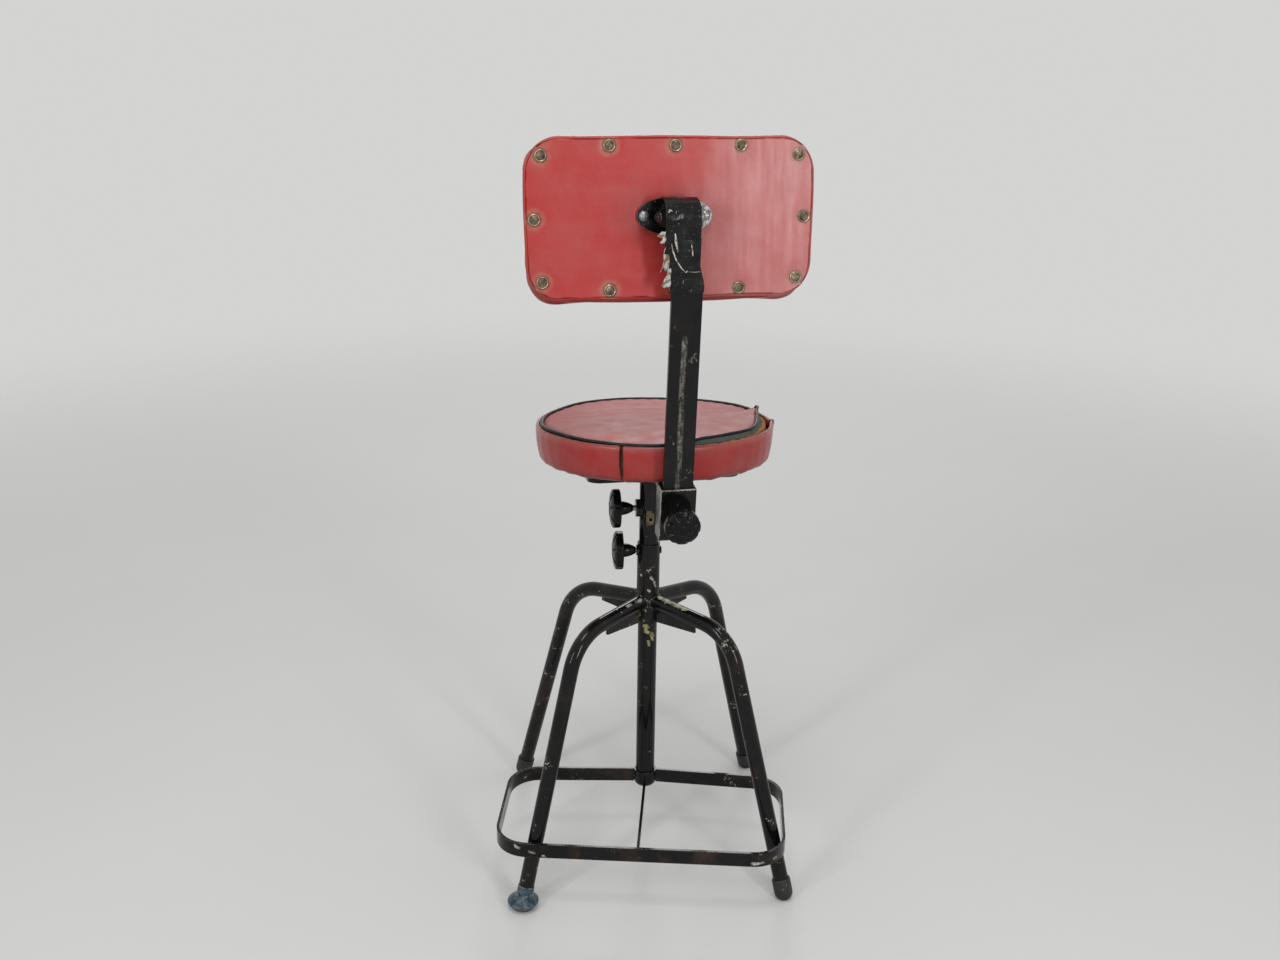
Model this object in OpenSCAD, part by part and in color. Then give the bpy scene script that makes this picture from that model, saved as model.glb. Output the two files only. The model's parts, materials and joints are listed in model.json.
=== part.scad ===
// Swivel work stool with a round padded seat, a padded backrest on a flat bar,
// a four-legged tube base and a strip foot ring. Millimetres, +Z up.
// The origin is on the column's axis at floor level. The backrest is on the +Y side
// and the sitter faces -Y.

/* [Legs] */
// Distance from the column's axis to each leg's centre line at floor level
foot_r = 271; // [255:1:290]
// Turn of the legs about the column, against the seat
base_turn = -7; // [-12:0.5:0]
// Outside diameter of the leg tube
leg_d = 22.2; // [19:0.1:25]
// Wall of the leg tube
leg_wall = 1.8; // [1.2:0.1:2.5]
// Height of the leg's centre line where it leaves the hub
leg_root_z = 396; // [389:1:409]
// Fall of the two rear legs' upper run below level
rear_fall = 4.5; // [3:0.5:8]
// Fall of the two front legs' upper run below level
front_fall = 8.5; // [4:0.5:10]
// Splay of the rear legs' lower run from upright
rear_splay = 17; // [15:0.5:19]
// Splay of the front legs' lower run from upright
front_splay = 17.5; // [15:0.5:19]
// Radius of the rear legs' bend, on the centre line
rear_bend_r = 70; // [50:1:85]
// Radius of the front legs' bend, on the centre line
front_bend_r = 85; // [60:1:95]
// Thickness of the gusset plates
gusset_t = 4; // [3:0.5:6]
// Distance from the column's axis to the gusset's outer end
gusset_reach = 91; // [75:1:100]
// Height of the gusset's outer lower corner above the bottom of the hub
gusset_rise = 4; // [2:0.5:8]

/* [Feet] */
// Outside diameter of the rubber ferrules
ferrule_d = 27; // [25.5:0.5:30]
// Length of the ferrules along the leg, above the floor
ferrule_h = 32; // [26:1:40]
// Height of the ball end's centre, less than its radius so that it stands flat
ferrule_ball_z = 11; // [9:0.5:12.5]
// Height above the floor at which a leg tube ends inside its ferrule
leg_end_z = 14; // [12:1:18]
// Largest diameter of the flared metal foot
glide_d = 45; // [38:1:50]
// Height of the flared part of the metal foot
glide_h = 22; // [18:1:26]
// Diameter of the flat face that the metal foot stands on
glide_face_d = 27; // [20:1:32]
// Wall of the metal foot's neck round the leg
glide_neck_wall = 0.9; // [0.6:0.1:1.6]

/* [Hub and column] */
// Outside diameter of the hub sleeve
hub_d = 33.7; // [32.6:0.1:38]
// Height of the hub sleeve's lower end
hub_z = 365; // [354:1:370]
// Length of the hub sleeve above the lower clamp screw
hub_above = 12; // [10:1:20]
// Outside diameter of the column tube
stem_d = 28.6; // [27:0.1:29.4]
// Wall of the column tube
stem_wall = 3; // [2.4:0.1:3.4]
// Height of the lower clamp screw
height_screw_z = 475; // [466:1:476]
// Distance from the lower clamp screw up to the upper one
screw_spacing = 66; // [63:1:74]
// Length of the column above the upper clamp screw
stem_above = 63; // [57:1:67]
// Turn of the upper clamp screw about the column, from the +X axis
swivel_screw_turn = -5; // [-15:1:5]
// Width of the window in the column's rear wall
window_w = 18; // [12:1:20]
// Height of the window
window_h = 24; // [16:1:26]
// Distance from the upper clamp screw down to the window's lower edge
window_below = 25; // [23:1:32]

/* [Foot ring] */
// Height of the strip that the ring is bent from
ring_h = 22; // [18:1:26]
// Thickness of the strip
ring_t = 4; // [3:0.5:5]
// Height of the strip's lower edge at the column
ring_z = 90; // [88:1:99]
// Radius of the ring's corners, on the strip's centre line
ring_corner_r = 46; // [35:1:60]
// How far the ring's far corners stand forward of the cup
ring_vee = 13; // [6:1:20]
// How much closer the ring's left side lies than its right side, which bears on a leg
ring_left_in = 4; // [0:1:8]
// Slope of the ring down towards its outer side
ring_slope = 2.4; // [1:0.2:3.6]
// Turn of the ring about the column, against the seat
ring_turn = -14.5; // [-18:0.5:-10]
// Height of the tie strip
tie_h = 12; // [8:1:14]
// Outside diameter of the cup under the column
cup_d = 34; // [33:0.5:38]
// Height of the cup's lower end
cup_z = 85; // [82:0.5:86]
// Height of the cup
cup_h = 26; // [24:0.5:30]
// Thickness of the cup's floor
cup_floor = 6; // [5:0.5:7]

/* [Clamp knobs] */
// Wheel diameter of the two side knobs
side_knob_d = 57; // [50:1:60]
// Wheel diameter of the rear knob
rear_knob_d = 51; // [46:1:56]
// Thickness of a knob's wheel at its rim
knob_rim = 12; // [9:0.5:14]
// Height of the domed face above the rim
knob_dome = 4; // [2:0.5:5]
// Length of a knob's neck
knob_neck = 18.5; // [16:0.5:24]
// Diameter of the neck where it meets the wheel
knob_neck_d = 23; // [20:0.5:26]
// Diameter of the neck's thin end
knob_tip_d = 11; // [10.5:0.5:14]
// Number of flutes round a wheel
knob_flutes = 8; // [6:1:10]
// Depth of a flute at the rim
flute_depth = 1.4; // [1:0.2:2.4]
// Diameter of the clamp screws
screw_d = 8; // [6:0.5:8.5]

/* [Seat] */
// Height of the middle of the seat board's underside above the column's top
seat_above = 18.7; // [16:0.1:24]
// How far the seat sits off the column, sideways
seat_shift = -6; // [-10:1:10]
// Slope of the seat, rear edge high
seat_rake = 4; // [3:0.2:4.4]
// Radius of the seat board
board_r = 160; // [140:1:180]
// How far the seat's side stands out past the board where it is widest
seat_bulge = 10; // [8:0.5:14]
// Thickness of the seat board
board_t = 12; // [9:1:15]
// Height of the piping's middle above the board's underside
piping_z = 50; // [44:1:56]
// Diameter of the piping
piping_d = 7; // [5:0.5:8]
// Height of the crown above the piping's middle
crown_h = 9; // [5:1:14]
// Thickness of the leatherette with its wadding
cover_t = 2; // [1.5:0.5:2.5]
// How far the corners of the square pan stay inside the board's edge
pan_inset = 16.8; // [16:0.2:25]
// Depth of the pan
pan_h = 12; // [11:0.5:16]
// Thickness of the pan's sheet
pan_t = 3; // [2:0.5:3.5]
// Corner radius of the pan
pan_corner_r = 18; // [8:1:25]

/* [Back arm and bar] */
// Width of the flat bar and of the arm
bar_w = 40; // [34:1:42]
// Thickness of the flat bar
bar_t = 6; // [5:0.5:7]
// Thickness of the arm under the seat
arm_t = 6; // [5:0.5:7]
// Distance from the seat's widest edge to the middle of the bar, a little above the board's underside
bar_off = 8; // [8:1:16]
// Height above the middle of the seat board's underside at which bar_off is taken
bar_ref_above = 1.3; // [-2:0.1:3]
// Lean of the bar away from the seat
bar_lean = 5.5; // [4.5:0.5:7]
// Length of the bar below the height where bar_off is taken
bar_below = 60; // [50:1:62]
// Length of the bar from that height up to its rolled eye
bar_above = 364; // [330:1:390]
// Width of the rolled eye at the bar's top, flush with the bar on the left
eye_w = 34; // [26:1:36]
// Outside radius of the bar's rolled eye
eye_r = 22; // [20:1:24]
// Thickness of the socket's plate
socket_wall = 3.8; // [3:0.2:4.5]
// Depth of the socket, front to rear
socket_depth = 26; // [24:0.5:26.5]
// Length of the socket below that height
socket_below = 66; // [62:1:72]
// Length of the socket above that height
socket_above = 7; // [4:0.5:7]
// Distance of the rear clamp screw below that height
rear_screw_below = 33; // [28:1:38]
// Length of the taped stretch below the eye's axis
tape_len = 90; // [60:1:120]
// Thickness of the tape
tape_t = 1.2; // [0.8:0.1:1.4]

/* [Backrest] */
// Width of the backrest's rear panel
pad_w = 363; // [340:1:390]
// Height of the rear panel
pad_h = 194; // [180:1:210]
// Thickness of the whole backrest
pad_t = 46; // [38:1:56]
// How far the cushion swells past the rear panel
pad_swell = 5; // [2:0.5:7]
// How far the cushion hangs below the rear panel
pad_sag = 18; // [6:0.5:20]
// How far the backrest sits off the bar, sideways
pad_shift = 13; // [5:1:20]
// How far the middle of the rear panel lies below the pivot
pad_drop = 3; // [0:1:10]
// Tilt of the backrest, top towards the sitter
pad_tilt = 4; // [0:0.5:8]
// Corner radius of the rear panel
pad_corner_r = 42; // [30:1:55]
// Width of the oval pivot plate
plate_w = 96; // [92:1:110]
// Height of the oval pivot plate
plate_h = 48; // [40:1:56]
// How far the pivot plate sits off the bar, sideways
plate_shift = 10; // [4:1:12]
// Thickness of the pivot plate and its ears
plate_t = 4; // [3:0.5:5]
// Diameter of the pivot bolt
pivot_d = 10; // [8:0.5:12]

/* [Hidden] */
$fn = 64;

// Gaps: a running fit between turned parts, and a gap between loose surfaces
fit = 0.06;
gap = 0.3;
// An overrun that lets a cut pass through a face
over = 1;
// A length longer than the whole stool, for cutting planes
far = 1200;

// A leg's centre line lies in an upright plane through the column: x outwards, y up.
// leg_form holds the fall, the splay and the bend radius of one leg.
rear_form = [rear_fall, rear_splay, rear_bend_r];
front_form = [front_fall, front_splay, front_bend_r];
root_pt = [hub_d/2, leg_root_z];
function leg_at(form, z) = [foot_r - z*tan(form[1]), z];
// Drop from the root to the corner where the two straight runs would meet
function corner_drop(form) =
  (foot_r - root_pt.x - root_pt.y*tan(form[1]))*tan(form[0])/(1 - tan(form[1])*tan(form[0]));
bend_swell = 0.1;
bend_lap = 1.5;
leg_turns = [for (k = [0:3]) base_turn + 45 + 90*k];

// Heights up the column
hub_h = height_screw_z + hub_above - hub_z;
swivel_screw_z = height_screw_z + screw_spacing;
window_z = swivel_screw_z - window_below;
stem_top_z = swivel_screw_z + stem_above;
seat_z = stem_top_z + seat_above;
bar_ref_z = seat_z + bar_ref_above;

// Column
hub_bore_r = stem_d/2 + fit;
stem_r = stem_d/2;
stem_bore_r = stem_r - stem_wall;
cup_inner_z = cup_z + cup_floor;
stem_z = cup_inner_z + gap;
spindle_r = stem_bore_r - fit;
spindle_below = 14;
spindle_z = window_z - spindle_below;
groove_r = spindle_r - 1.5;
groove_h = screw_d + 2;
washer_t = 3;
hub_plate_z = stem_top_z + washer_t + gap;
pan_hub_r = 26;
screw_r = screw_d/2;
flange_d = 26;
flange_t = 6;
pad_boss_d = 16;
pad_boss_t = 1.6;
rivet_d = 10;
rivet_h = 2;
plug_h = 12;

// Foot ring: measured in its own turned frame, the cup at the origin.
// The ring bears on the two rear legs, on their outer side, so its size follows from them.
ring_rel = 45 - abs(ring_turn - base_turn);
ring_side_guess = foot_r*cos(ring_rel);
leg_low = leg_at(rear_form, ring_z - ring_side_guess*tan(ring_slope));
leg_half = leg_d/2/cos(rear_splay);
ring_side = leg_low.x*cos(ring_rel) + leg_half + ring_t/2 + 0.1;
ring_left = ring_side - ring_left_in;
ring_path = [
  [0, 0], [ring_left, ring_vee], [ring_left, ring_side], [-ring_side, ring_side], [-ring_side, ring_vee], [0, 0]
];

// Clamp knobs: distance from the column's axis, or from the bar's middle, to the thin end
neck_gap = 1;
swivel_neck_gap = 4;
height_neck_at = hub_d/2 + pad_boss_t + neck_gap;
swivel_neck_at = stem_r + flange_t + swivel_neck_gap;
knob_bore_h = knob_neck + knob_rim/2;

// Seat: the side band's hem and its tacks lie under the board, outside the pan
seat_r = board_r + seat_bulge;
hem_w = 11;
tack_in = 6.5;
pan_side = 2*((board_r - pan_inset - pan_corner_r)/sqrt(2) + pan_corner_r);
// Screws and bolts inside the pan's edge, and the arm's start
pan_screw_in = 22;
arm_bolt_in = [56.5, 26.5];
arm_start = 34;
// The band is widest at its shoulder, rounded with shoulder_r down to the piping
shoulder_r = 4;
shoulder_drop = 6;

// Bar and socket, in the bar's leaning frame
bar_y = seat_r + bar_off;
bar_gap = gap;
socket_half = bar_w/2 + bar_gap + 0.1 + socket_wall;
socket_back = bar_t/2 + bar_gap + socket_wall;
socket_front = socket_back - socket_depth;
boss_t = 3;
rear_neck_at = socket_back + boss_t + neck_gap;
eye_mid_r = eye_r - bar_t/2;
eye_bore_r = eye_r - bar_t;
eye_sweep = 285;
bush_r = eye_bore_r;
eye_x = [bar_w/2 - eye_w, bar_w/2];
taper_h = 30;
taper_lap = 5;
taper_z = bar_above - tape_len + taper_lap;
pivot_r = pivot_d/2;

// Backrest, in its own frame with the pivot at the origin
eye_clear = 0.8;
panel_t = 1.5;
back_board_t = 10;
plate_back = -(eye_r + tape_t + eye_clear);
panel_back = plate_back - plate_t;
board_back = panel_back - panel_t;
board_front = board_back - back_board_t;
pad_front = panel_back - pad_t;
ear_gap = 0.6;
ear_left = eye_x[1] + ear_gap;
ear_right = eye_x[0] - ear_gap - plate_t;
ear_r = 13;
bolt_washer_t = 2;
bolt_head_r = 8.5;
bolt_head_h = 5;
nut_h = 7;
nut_across = 17;
nut_dome_r = 7.5;
nut_dome_h = 7;

// Seat heights above the board's underside
foam_top = piping_z - 2;
piping_r = seat_r - 7;
pan_screw_at = pan_side/2 - pan_screw_in;
arm_bolt_at = [for (in = arm_bolt_in) pan_side/2 - in];

// Places

module at_seat() { translate([0, 0, seat_z]) rotate([seat_rake, 0, 0]) children(); }
module at_cushion() { at_seat() translate([seat_shift, 0, 0]) children(); }
module at_bar() { translate([0, bar_y, bar_ref_z]) rotate([-bar_lean, 0, 0]) children(); }
module at_pivot() { at_bar() translate([0, -eye_mid_r, bar_above]) rotate([bar_lean, 0, 0]) children(); }
module at_back() { at_pivot() rotate([pad_tilt, 0, 0]) children(); }
module at_pad() { at_back() translate([pad_shift, 0, -pad_drop]) children(); }
module at_plate() { at_back() translate([plate_shift, 0, 0]) children(); }
module at_ring() { rotate([0, 0, ring_turn]) translate([0, 0, ring_z]) rotate([-ring_slope, 0, 0]) children(); }
// Each clamp screw points out along local +Z
module at_height_screw() { rotate([0, 0, base_turn]) translate([0, 0, height_screw_z]) rotate([0, 90, 0]) children(); }
module at_swivel_screw() { rotate([0, 0, swivel_screw_turn]) translate([0, 0, swivel_screw_z]) rotate([0, 90, 0]) children(); }
module at_rear_screw() { at_bar() translate([0, 0, -rear_screw_below]) rotate([-90, 0, 0]) children(); }

// Shared shapes

// A flat plate with round corners, centred, standing on z = 0
module round_plate(w, h, r, t) {
  linear_extrude(t) {
    square([w - 2*r, h], center = true);
    square([w, h - 2*r], center = true);
    for (sx = [-1, 1], sy = [-1, 1]) translate([sx*(w/2 - r), sy*(h/2 - r)]) circle(r);
  }
}
// A ring between two radii
module tube(r_out, r_in, h) {
  difference() {
    cylinder(r = r_out, h = h);
    translate([0, 0, -over]) cylinder(r = r_in, h = h + 2*over);
  }
}
// A round bar of diameter d along the leg's path, from start_r out from the column's axis
// down to the height low_z. The bend is a hair fatter, and the straight runs end inside it.
module leg_rod(form, d, start_r, low_z) {
  fall = form[0];
  splay = form[1];
  bend_r = form[2];
  fall_dir = [cos(fall), -sin(fall)];
  turn = 90 - splay - fall;
  corner_pt = leg_at(form, root_pt.y - corner_drop(form));
  bend_in = corner_pt - bend_r*tan(turn/2)*fall_dir;
  bend_mid = bend_in - bend_r*[sin(fall), cos(fall)];
  bend_out = bend_mid + bend_r*[cos(splay), sin(splay)];
  from = [start_r, root_pt.y - (start_r - root_pt.x)*tan(fall)];
  low = leg_at(form, low_z);
  translate([from.x, 0, from.y]) rotate([0, 90 + fall, 0]) cylinder(d = d, h = norm(bend_in - from) + bend_lap);
  translate([bend_mid.x, 0, bend_mid.y]) rotate([90, 0, 0]) rotate([0, 0, splay])
    rotate_extrude(angle = turn) translate([bend_r, 0]) circle(d = d + bend_swell);
  translate([low.x, 0, low.y]) rotate([0, -splay, 0]) cylinder(d = d, h = norm(bend_out - low) + bend_lap);
}
module leg(form, turn, low_z) {
  color([0.07, 0.07, 0.08]) rotate([0, 0, turn]) difference() {
    leg_rod(form, leg_d, 0, low_z);
    leg_rod(form, leg_d - 2*leg_wall, -bend_lap, low_z - over);
    cylinder(d = hub_d, h = far);
  }
}
module gusset(form, turn) {
  top_out = leg_root_z - (gusset_reach - root_pt.x)*tan(form[0]);
  rotate([0, 0, turn]) difference() {
    translate([0, gusset_t/2, 0]) rotate([90, 0, 0]) linear_extrude(gusset_t)
      polygon([[0, hub_z], [root_pt.x, hub_z], [gusset_reach, hub_z + gusset_rise],
        [gusset_reach - 2, top_out], [0, leg_root_z]]);
    leg_rod(form, leg_d, 0, leg_end_z);
    cylinder(d = hub_d, h = far);
  }
}
// A rubber ferrule with a ball end, worn flat where it stands
module ferrule(form, turn) {
  ball = leg_at(form, ferrule_ball_z);
  end = leg_at(form, leg_end_z);
  lip = 2;
  body_h = ferrule_h - ferrule_ball_z - lip;
  color([0.09, 0.09, 0.09]) rotate([0, 0, turn]) difference() {
    translate([ball.x, 0, ball.y]) rotate([0, -form[1], 0]) {
      sphere(d = ferrule_d);
      cylinder(d = ferrule_d, h = body_h);
      translate([0, 0, body_h]) cylinder(d1 = ferrule_d, d2 = ferrule_d - lip, h = lip);
    }
    translate([end.x, 0, end.y]) rotate([0, -form[1], 0]) cylinder(d = leg_d, h = ferrule_h + over);
    translate([0, -far/2, -far]) cube([far, far, far]);
  }
}
// Points on an arc, for outlines
function arc(c, r, from, to, n) = [for (i = [0:n]) let (a = from + (to - from)*i/n) c + r*[cos(a), sin(a)]];
// The neck of a knob swells from its thin end to the wheel
function neck_r(u) = knob_tip_d/2 + (knob_neck_d - knob_tip_d)/2*pow(sin(90*u), 1.4);
module knob(wheel_d) {
  wheel_r = wheel_d/2;
  steps = 8;
  edge = 2.2;
  flute_r = 3.5;
  difference() {
    rotate_extrude() polygon(concat(
      [[0, 0]],
      [for (i = [0:steps]) [neck_r(i/steps), knob_neck*i/steps]],
      arc([wheel_r - edge, knob_neck + edge], edge, -90, 0, 4),
      arc([wheel_r - edge, knob_neck + knob_rim - edge], edge, 0, 90, 4),
      [[wheel_r*0.72, knob_neck + knob_rim + knob_dome*0.45], [wheel_r*0.4, knob_neck + knob_rim + knob_dome*0.9]],
      [[0, knob_neck + knob_rim + knob_dome]]
    ));
    for (k = [0:knob_flutes - 1]) rotate([0, 0, (k + 0.5)*360/knob_flutes])
      translate([wheel_r + flute_r - flute_depth, 0, knob_neck - over])
        cylinder(r = flute_r, h = knob_rim + knob_dome + 2*over);
    translate([0, 0, -over]) cylinder(r = screw_r + fit, h = knob_bore_h + over);
  }
}
// A cap cut from a ball, on z = 0
module dome(r, h) {
  ball_r = (r*r + h*h)/(2*h);
  intersection() {
    translate([0, 0, h - ball_r]) sphere(r = ball_r);
    cylinder(r = r, h = h);
  }
}
// A slotted screw with a domed head, its head's base at z = 0, shank below
module dome_screw(head_r, head_h, shank_r, shank_l) {
  difference() {
    dome(head_r, head_h);
    translate([-head_r - over, -0.7, head_h - 1.2]) cube([2*head_r + 2*over, 1.4, 2]);
  }
  translate([0, 0, -shank_l]) cylinder(r = shank_r, h = shank_l);
}

// Base

module hub_sleeve() {
  color([0.08, 0.08, 0.09]) difference() {
    translate([0, 0, hub_z]) cylinder(d = hub_d, h = hub_h);
    translate([0, 0, hub_z - over]) cylinder(r = hub_bore_r, h = hub_h + 2*over);
    at_height_screw() cylinder(r = screw_r + fit, h = hub_d);
  }
}
module hub_rivet() {
  color([0.2, 0.2, 0.2]) difference() {
    rotate([0, 0, base_turn + 180]) translate([0, 0, height_screw_z]) rotate([0, 90, 0])
      cylinder(d1 = rivet_d + hub_d/2, d2 = rivet_d, h = hub_d/2 + rivet_h);
    cylinder(d = hub_d, h = far);
  }
}
module height_screw_pad() {
  color([0.1, 0.1, 0.1]) difference() {
    at_height_screw() difference() {
      cylinder(d = pad_boss_d, h = hub_d/2 + pad_boss_t);
      cylinder(r = screw_r + fit, h = hub_d);
    }
    cylinder(d = hub_d, h = far);
  }
}
module leg_rear_left() { leg(rear_form, leg_turns[0], glide_h + 2); }
module leg_rear_right() { leg(rear_form, leg_turns[1], leg_end_z); }
module leg_front_right() { leg(front_form, leg_turns[2], leg_end_z); }
module leg_front_left() { leg(front_form, leg_turns[3], leg_end_z); }
module gussets() {
  color([0.09, 0.09, 0.1]) for (k = [0:3]) gusset(k < 2 ? rear_form : front_form, leg_turns[k]);
}
module ferrule_rear_right() { ferrule(rear_form, leg_turns[1]); }
module ferrule_front_right() { ferrule(front_form, leg_turns[2]); }
module ferrule_front_left() { ferrule(front_form, leg_turns[3]); }
module glide_rear_left() {
  neck_d = leg_d + 2*glide_neck_wall;
  lip_r = 3;
  lip_arc = [-20, 70];
  base = leg_at(rear_form, glide_h*0.4);
  end = leg_at(rear_form, glide_h + 2);
  color([0.3, 0.38, 0.4]) rotate([0, 0, leg_turns[0]]) difference() {
    union() {
      translate([base.x, 0, 0]) rotate_extrude() polygon(concat(
        [[0, 0], [glide_face_d/2, 0], [glide_face_d/2 + 2, 1]],
        [[glide_d/2 - 1, glide_h*0.42]],
        arc([glide_d/2 - lip_r, glide_h*0.5], lip_r, lip_arc[0], lip_arc[1], 4),
        [[neck_d/2 + 3, glide_h*0.86], [neck_d/2 - 1, glide_h], [0, glide_h]]
      ));
      translate([base.x, 0, base.y]) rotate([0, -rear_splay, 0]) cylinder(d = neck_d, h = glide_h*1.1);
    }
    translate([end.x, 0, end.y]) rotate([0, -rear_splay, 0]) cylinder(d = leg_d, h = far);
  }
}
// The strip ring: straight stretches and round corners of one strip on edge
module strip_run(a, b, h, t) {
  d = b - a;
  translate([a.x, a.y, 0]) rotate([0, 0, atan2(d.y, d.x)]) translate([0, -t/2, 0]) cube([norm(d), t, h]);
}
function unit(v) = v/norm(v);
// Tangent length, and centre, of the round corner at b
function corner_turn(a, b, c) = acos(unit(b - a)*unit(c - b));
function corner_tan(a, b, c) = ring_corner_r*tan(corner_turn(a, b, c)/2);
function left_of(v) = [-v.y, v.x];
module strip_corner(a, b, c) {
  turn = corner_turn(a, b, c);
  start = b - corner_tan(a, b, c)*unit(b - a);
  mid = start + ring_corner_r*left_of(unit(b - a));
  from = atan2(start.y - mid.y, start.x - mid.x);
  translate([mid.x, mid.y, 0]) rotate([0, 0, from])
    rotate_extrude(angle = turn) translate([ring_corner_r - ring_t/2 - bend_swell/2, 0])
      square([ring_t + bend_swell, ring_h]);
}
module foot_ring() {
  last = len(ring_path) - 1;
  color([0.09, 0.09, 0.1]) difference() {
    at_ring() {
      for (i = [0:last - 1]) {
        a = ring_path[i];
        b = ring_path[i + 1];
        cut_a = i == 0 ? 0 : corner_tan(ring_path[i - 1], a, b) - bend_lap;
        cut_b = i == last - 1 ? 0 : corner_tan(a, b, ring_path[i + 2]) - bend_lap;
        strip_run(a + cut_a*unit(b - a), b - cut_b*unit(b - a), ring_h, ring_t);
      }
      for (i = [1:last - 1]) strip_corner(ring_path[i - 1], ring_path[i], ring_path[i + 1]);
    }
    cylinder(d = cup_d, h = far);
  }
}
module ring_tie_strip() {
  tie_top = cup_inner_z + 1;
  color([0.09, 0.09, 0.1]) difference() {
    rotate([0, 0, ring_turn]) translate([-ring_t/2, 0, tie_top - tie_h]) cube([ring_t, ring_side, tie_h]);
    cylinder(d = cup_d, h = far);
    at_ring() translate([-ring_side, ring_side - ring_t/2, -ring_h]) cube([2*ring_side, far, 3*ring_h]);
  }
}
module ring_cup() {
  round_r = 9;
  color([0.08, 0.08, 0.09]) rotate_extrude() polygon(concat(
    [[0, cup_z]],
    arc([cup_d/2 - round_r, cup_z + round_r], round_r, -90, 0, 6),
    [[cup_d/2, cup_z + cup_h], [hub_bore_r, cup_z + cup_h], [hub_bore_r, cup_inner_z], [0, cup_inner_z]]
  ));
}

// Clamp screws and knobs

module clamp_screw(tip, neck_at) {
  color([0.62, 0.62, 0.6]) translate([0, 0, tip]) cylinder(r = screw_r, h = neck_at + knob_bore_h - gap - tip);
}
module height_screw() { at_height_screw() clamp_screw(stem_r + gap, height_neck_at); }
module height_knob() { color([0.05, 0.05, 0.05]) at_height_screw() translate([0, 0, height_neck_at]) knob(side_knob_d); }
module swivel_screw() { at_swivel_screw() clamp_screw(groove_r + gap, swivel_neck_at); }
module swivel_knob() { color([0.05, 0.05, 0.05]) at_swivel_screw() translate([0, 0, swivel_neck_at]) knob(side_knob_d); }
module rear_screw() { at_rear_screw() clamp_screw(bar_t/2 + gap, rear_neck_at); }
module rear_knob() { color([0.05, 0.05, 0.05]) at_rear_screw() translate([0, 0, rear_neck_at]) knob(rear_knob_d); }

// Column

module stem_tube() {
  color([0.08, 0.08, 0.09]) difference() {
    translate([0, 0, stem_z]) cylinder(r = stem_r, h = stem_top_z - stem_z);
    translate([0, 0, stem_z - over]) cylinder(r = stem_bore_r, h = far);
    translate([-window_w/2, 0, window_z]) cube([window_w, stem_d, window_h]);
    at_swivel_screw() cylinder(r = screw_r + fit, h = stem_d);
  }
}
module stem_end_plug() {
  color([0.15, 0.15, 0.15]) translate([0, 0, stem_z]) cylinder(r = stem_bore_r, h = plug_h);
}
module swivel_screw_flange() {
  color([0.1, 0.1, 0.1]) difference() {
    at_swivel_screw() difference() {
      cylinder(d = flange_d, h = stem_r + flange_t);
      cylinder(r = screw_r + fit, h = stem_d);
    }
    cylinder(r = stem_r, h = far);
    rotate([0, 0, swivel_screw_turn]) translate([-far, -far/2, 0]) cube([far + stem_r - 4, far, far]);
  }
}
module swivel_washer() {
  color([0.55, 0.5, 0.35]) translate([0, 0, stem_top_z]) tube(stem_r + 2.5, spindle_r + 0.4, washer_t);
}

// Seat frame

module spindle() {
  color([0.66, 0.65, 0.58]) difference() {
    translate([0, 0, spindle_z]) cylinder(r = spindle_r, h = hub_plate_z + 7 - spindle_z);
    translate([0, 0, swivel_screw_z - groove_h/2]) tube(spindle_r + over, groove_r, groove_h);
    // Split-pin hole below the groove
    translate([0, -stem_r, window_z + 10]) rotate([-90, 0, 0]) cylinder(r = 2.5, h = stem_d);
  }
}
module pan_hub() {
  color([0.1, 0.1, 0.1]) difference() {
    translate([0, 0, hub_plate_z]) cylinder(r = pan_hub_r, h = seat_z - hub_plate_z + pan_hub_r*sin(seat_rake));
    at_seat() translate([-far/2, -far/2, -pan_t]) cube([far, far, far]);
    translate([0, 0, hub_plate_z - over]) cylinder(r = spindle_r, h = 7 + over);
  }
}
module seat_pan() {
  color([0.1, 0.1, 0.11]) at_seat() difference() {
    translate([0, 0, -pan_h]) round_plate(pan_side, pan_side, pan_corner_r, pan_h);
    translate([0, 0, -pan_h - over])
      round_plate(pan_side - 2*pan_t, pan_side - 2*pan_t, pan_corner_r - pan_t, pan_h - pan_t + over);
    translate([-bar_w/2 - gap, 0, -pan_h - over]) cube([bar_w + 2*gap, pan_side, pan_h - pan_t + over]);
    for (sx = [-1, 1], sy = [-1, 1]) translate([sx*pan_screw_at, sy*pan_screw_at, -far/2]) cylinder(r = 2.5, h = far);
    for (y = arm_bolt_at) translate([0, y, -far/2]) cylinder(r = 4, h = far);
  }
}
module pan_screws() {
  color([0.5, 0.48, 0.4]) at_seat() for (sx = [-1, 1], sy = [-1, 1])
    translate([sx*pan_screw_at, sy*pan_screw_at, -pan_t]) rotate([180, 0, 0]) dome_screw(5, 3, 2.5, pan_t + board_t - 2);
}
module back_arm() {
  color([0.1, 0.1, 0.11]) difference() {
    at_seat() translate([-bar_w/2, arm_start, -pan_t - arm_t]) cube([bar_w, bar_y, arm_t]);
    at_bar() translate([-far/2, socket_front, -far/2]) cube([far, far, far]);
    at_seat() for (y = arm_bolt_at) translate([0, y, -far/2]) cylinder(r = 4, h = far);
  }
}
module arm_bolts() {
  color([0.45, 0.44, 0.4]) at_seat() for (y = arm_bolt_at) translate([0, y, 0]) {
    translate([0, 0, -pan_t - arm_t - 5]) cylinder(d = 15, h = 5, $fn = 6);
    translate([0, 0, -pan_t - arm_t]) cylinder(r = 4, h = pan_t + arm_t + board_t - 3);
  }
}
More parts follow.
